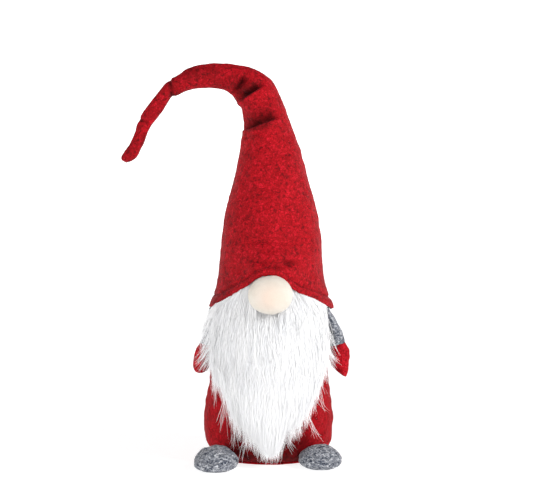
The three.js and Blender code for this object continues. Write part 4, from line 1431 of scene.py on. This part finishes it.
def edge_hairs(name, seed, count, width=(0.13, 0.24)):
    """Single fine hairs that stand loose round the beard's lower outline."""
    rng = np.random.default_rng(seed)
    x0 = rng.uniform(-50, 48, count * 3)
    z0 = table(BEARD_END, x0) + rng.uniform(14, 40, len(x0))
    ok = (z0 > 5) & (np.abs(x0) < 0.86 * body_r(np.maximum(z0, 26)))
    x0, z0 = x0[ok][:count], z0[ok][:count]
    n = len(x0)
    th = np.arcsin(x0 / (body_r(np.maximum(z0, 26)) + 6))
    L = rng.uniform(14, 34, n)
    wild = np.where(rng.random(n) < 0.3, 1.0, 0.4)
    lean = rng.normal(0, 0.5, n) * wild + 0.3 * np.clip(x0 / 30, -1, 1) * rng.uniform(-0.5, 0.9, n)
    curl = rng.normal(0, 0.5, n) * wild
    lift = rng.uniform(0.35, 0.95, n)
    steps = 5
    pts, nrm = np.zeros((n, steps + 1, 3)), np.zeros((n, steps + 1, 3))
    z = z0.copy()
    for s in range(steps + 1):
        t = s / steps
        h = fur_depth(th, np.clip(z, 3, 170)) * lift * (0.8 + 0.25 * t)
        q, m = body_at(th, np.maximum(z, 1.2), np.maximum(h, 0.6), hang=24)
        pts[:, s], nrm[:, s] = q, m
        a = lean + curl * (t - 0.3)
        th = th + (L / steps) * np.sin(a) / (body_r(np.maximum(z, 24)) + h)
        z = z - (L / steps) * np.cos(a)
    good = (z > np.maximum(1.0, table(BEARD_END, pts[:, -1, 0]) - 6)) & (np.abs(pts[:, -1, 0]) < 53)
    tone = np.clip(rng.normal(0.7, 0.15, n), 0, 1)
    o = hair_mesh(name, list(zip(pts[good], nrm[good], tone[good])), rng, width, steps)
    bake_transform(o)
    return o


edge_hairs("beard_edge_hairs", 105, 2600)


def wisps(name, seed, rows, width=(0.2, 0.4)):
    """Locks that leave the beard by a path of their own: each row is (count, spread, tip spread, [points])."""
    rng = np.random.default_rng(seed)
    steps = 8
    roots = []
    for count, spread, tip, path in rows:
        curve = spline(path, steps + 1)
        for _ in range(count):
            a = rng.normal(0, 1, 3) * spread
            b = rng.normal(0, 1, 3) * tip
            stretch = rng.uniform(0.72, 1.05)
            t = np.linspace(0, 1, steps + 1)
            along = np.clip(t * stretch, 0, 1) * steps
            c = np.stack([np.interp(along, np.arange(steps + 1), curve[:, d]) for d in range(3)], 1)
            t = t[:, None]
            c = c + a * (1 - t) + b * t**1.5 + rng.normal(0, 0.6, 3) * np.sin(3.1 * t)
            out = unit(np.stack([c[:, 0] * 0.6, -np.full(len(c), 45.0), np.full(len(c), 8.0)], 1))
            roots.append((c, out, np.clip(rng.normal(0.66, 0.16), 0, 1)))
    o = hair_mesh(name, roots, rng, width, steps)
    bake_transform(o)
    return o


wisps(
    "beard_side_locks",
    103,
    [
        # over the right sleeve
        (30, 1.8, 1.6, [(-43, -29, 134), (-49.5, -28, 124), (-54, -26, 114), (-58, -23.5, 104), (-61, -22, 97)]),
        (28, 1.8, 1.7, [(-42.5, -31, 130), (-48, -30, 119), (-52, -28, 108), (-55, -26, 99), (-57.5, -24, 91)]),
        (30, 1.6, 1.4, [(-44, -26, 136), (-50, -26, 130), (-54.5, -25, 121), (-57.5, -23.5, 112), (-59.5, -22.5, 106)]),
        # over the right mitten
        (30, 1.6, 1.4, [(-42, -31, 126), (-47, -30, 112), (-52, -27, 100), (-59, -23.5, 89), (-64.5, -21, 84)]),
        (28, 1.6, 1.6, [(-42, -32, 120), (-46, -31, 106), (-50, -29, 95), (-55, -26, 84), (-60, -22.5, 77)]),
        (20, 1.6, 1.4, [(-43, -29, 132), (-48, -28, 119), (-52, -26, 108), (-56, -24, 98), (-59, -22, 92)]),
        (36, 1.6, 1.6, [(-41, -34, 112), (-45, -33, 99), (-48, -31, 89), (-51, -28, 81), (-54, -26, 75)]),
        (40, 1.6, 1.3, [(-40, -35, 104), (-44, -34, 91), (-46, -33, 79), (-47, -32, 69), (-48, -31, 60)]),
        # over the left mitten
        (26, 1.6, 1.8, [(43, -30, 124), (47, -29, 111), (51, -27, 100), (55, -24, 91), (60, -21.5, 85)]),
        (26, 1.6, 1.8, [(42, -31, 116), (46.5, -30, 103), (50, -28, 93), (53.5, -25, 84), (57.5, -22.5, 77)]),
        (30, 1.5, 1.4, [(42, -33, 108), (45.5, -32, 95), (48, -30, 84), (49.5, -29, 76), (50.5, -28, 69)]),
    ],
)
wisps(
    "beard_stray_hairs",
    104,
    [
        (12, 2.2, 3.6, [(36, -44, 84), (41, -42, 72), (44, -40, 63), (45.5, -39, 55), (46, -39, 49)]),
        (8, 2.4, 3.4, [(34, -46, 74), (38, -45, 62), (41, -43, 54), (43, -42, 48), (45, -41, 44)]),
        (8, 1.8, 3.2, [(30, -50, 60), (34, -49, 46), (37, -48, 36), (40, -47, 28), (43, -46, 22)]),
        (5, 2.0, 4.0, [(16, -56, 56), (18, -57, 44), (19, -57, 35), (21, -57, 27), (22.5, -57, 21)]),
        (6, 2.0, 3.6, [(24, -54, 54), (26, -54, 44), (27, -54, 34), (29, -54, 26), (31, -53, 20)]),
        (6, 1.6, 3.4, [(12, -58, 44), (14, -58, 32), (17, -58, 24), (20, -57, 18), (23, -57, 14)]),
        (12, 2.2, 3.2, [(-34, -46, 70), (-37, -45, 56), (-39, -44, 45), (-40, -43, 36), (-41, -43, 29)]),
        (12, 2.2, 3.2, [(-27, -51, 50), (-29, -51, 38), (-30, -50, 28), (-31, -50, 20), (-31, -50, 13)]),
        (10, 2.2, 3.2, [(-16, -56, 40), (-18, -56, 28), (-20, -56, 20), (-22, -55, 12), (-23, -55, 6)]),
        (12, 1.8, 2.6, [(-42, -34, 92), (-44, -34, 78), (-45.5, -33, 66), (-46.5, -33, 56), (-47, -33, 48)]),
        (26, 2.2, 2.6, [(43, -30, 132), (48, -29.5, 120), (52, -28, 109), (55, -26, 100), (58, -24, 93)]),
        (24, 2.2, 2.8, [(42, -32, 122), (47, -31, 109), (51, -29, 97), (54, -26.5, 87), (57.5, -24, 79)]),
        (24, 2.2, 3.0, [(42, -33, 110), (46, -32, 97), (49, -30.5, 86), (51.5, -28, 77), (54, -26, 70)]),
        (9, 2.4, 3.0, [(-43, -30, 128), (-50, -28.5, 116), (-56, -25.5, 104), (-61, -22.5, 94), (-65, -20.5, 87)]),
        (8, 2.4, 3.0, [(-42, -32, 116), (-48, -30.5, 102), (-54, -27, 90), (-59, -23.5, 81), (-62, -21.5, 75)]),
    ],
    (0.14, 0.26),
)


# the knitted cloth that the beard's hair is rooted in, sewn on under the brim
def backing():
    cols, rows = 61, 40
    ths = np.linspace(-1.03, 1.03, cols)
    x = 47 * np.sin(ths)
    low = np.interp(x, [-44, -36, -22, 0, 24, 38, 44], [100, 78, 62, 56, 62, 78, 100])
    top = np.full(cols, 125.5)
    z = low + np.linspace(0, 1, rows)[:, None] * (top - low)
    outer, _ = body_at(ths, z, np.full_like(z, 0.52) + 0.03 * np.sin(z * 3))
    inner, _ = body_at(ths, z, np.full_like(z, 0.12))
    o = closed_strip("beard_backing_knit", outer, inner, KNIT)
    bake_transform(o)
    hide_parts("beard_backing")
    d1 = np.linalg.norm(np.diff(outer, axis=0), axis=2)
    d2 = np.linalg.norm(np.diff(outer, axis=1), axis=2)
    area_mm2 = (0.5 * (d1[:, 1:] + d1[:, :-1]) * 0.5 * (d2[1:] + d2[:-1])).sum()
    wide, long = d2.sum(1).max(), d1.sum(0).max()
    return wide, long, area_mm2


print("backing flat", backing())


# ------------------------------------------------------------ hidden CAD pieces
for node, material in (
    ("base_stiffener", CARD),
    ("ballast_pouch", POUCH),
    ("ballast_sand", SAND),
    ("nose_gather_knot", CREAM_THREAD),
    ("hat_wire_cone", STEEL),
    ("hat_wire_arch", STEEL),
    ("hat_wire_drop", STEEL),
    ("hat_wire_tip", STEEL),
):
    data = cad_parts[node].data
    if data.materials:
        data.materials[0] = material
    else:
        data.materials.append(material)

# ----------------------------------------------------------------------- stage
me = bpy.data.meshes.new("floor")
me.from_pydata([(-6, -6, -0.0004), (6, -6, -0.0004), (6, 6, -0.0004), (-6, 6, -0.0004)], [], [(0, 1, 2, 3)])
floor = bpy.data.objects.new("floor", me)
bpy.context.collection.objects.link(floor)
fm, ft, fb = nodes_of("studio_floor")
fb.inputs["Base Color"].default_value = (0.4, 0.4, 0.4, 1)
fb.inputs["Roughness"].default_value = 1.0
fb.inputs["Specular IOR Level"].default_value = 0.0
fb.inputs["Emission Color"].default_value = (1, 1, 1, 1)
away = ft.nodes.new("ShaderNodeVectorMath")
away.operation = "LENGTH"
link(ft, ft.nodes.new("ShaderNodeNewGeometry").outputs["Position"], away.inputs[0])
even = ft.nodes.new("ShaderNodeMapRange")
even.interpolation_type = "SMOOTHSTEP"
even.inputs["From Min"].default_value = 0.2
even.inputs["From Max"].default_value = 1.1
even.inputs["To Min"].default_value = 0.84
even.inputs["To Max"].default_value = 1.0
link(ft, away.outputs["Value"], even.inputs["Value"])
link(ft, even.outputs["Result"], fb.inputs["Emission Strength"])
me.materials.append(fm)

me = bpy.data.meshes.new("backdrop")
ring_v, ring_f = [], []
for k in range(64):
    u = 2 * math.pi * k / 64
    ring_v += [(4.2 * math.cos(u), 4.2 * math.sin(u), -0.2), (4.2 * math.cos(u), 4.2 * math.sin(u), 2.0)]
    ring_f.append((2 * k, 2 * k + 1, (2 * k + 3) % 128, (2 * k + 2) % 128))
me.from_pydata(ring_v, [], ring_f)
backdrop = bpy.data.objects.new("backdrop", me)
bpy.context.collection.objects.link(backdrop)
bm_, bt_, bb_ = nodes_of("studio_backdrop")
bb_.inputs["Base Color"].default_value = (0.5, 0.5, 0.5, 1)
bb_.inputs["Roughness"].default_value = 1.0
bb_.inputs["Specular IOR Level"].default_value = 0.0
bb_.inputs["Emission Color"].default_value = (1, 1, 1, 1)
bb_.inputs["Emission Strength"].default_value = 1.0
me.materials.append(bm_)

world = bpy.data.worlds.new("studio")
bpy.context.scene.world = world
world.use_nodes = True
bg = world.node_tree.nodes["Background"]
bg.inputs["Color"].default_value = (1, 1, 1, 1)
bg.inputs["Strength"].default_value = 0.14


def area(name, at, aim, size, power, colour=(1, 1, 1)):
    d = bpy.data.lights.new(name, "AREA")
    d.shape = "RECTANGLE"
    d.size, d.size_y = size
    d.energy = power
    d.color = colour
    o = bpy.data.objects.new(name, d)
    bpy.context.collection.objects.link(o)
    o.location = at
    o.rotation_mode = "QUATERNION"
    o.rotation_quaternion = (Vector(aim) - Vector(at)).to_track_quat("-Z", "Y")
    return o


area("key", (1.1, -0.8, 0.95), (0, 0, 0.2), (0.35, 0.4), 15)
area("fill", (-0.95, -1.1, 0.55), (0, 0, 0.17), (0.8, 0.8), 4.6)

scene = bpy.context.scene
scene.view_settings.view_transform = "Standard"
scene.view_settings.look = "None"

cam = bpy.data.cameras.new("camera")
cam.sensor_width = 36
cam.lens = 18 / math.tan(math.radians(21.2 / 2))
cam.clip_start, cam.clip_end = 0.05, 50
camera = bpy.data.objects.new("camera", cam)
bpy.context.collection.objects.link(camera)
camera.location = (-0.0018, -1.25, 0.249)
camera.rotation_mode = "QUATERNION"
camera.rotation_quaternion = (Vector((-0.0018, 0, 0.189)) - camera.location).to_track_quat("-Z", "Y")
scene.camera = camera

bpy.context.view_layer.update()
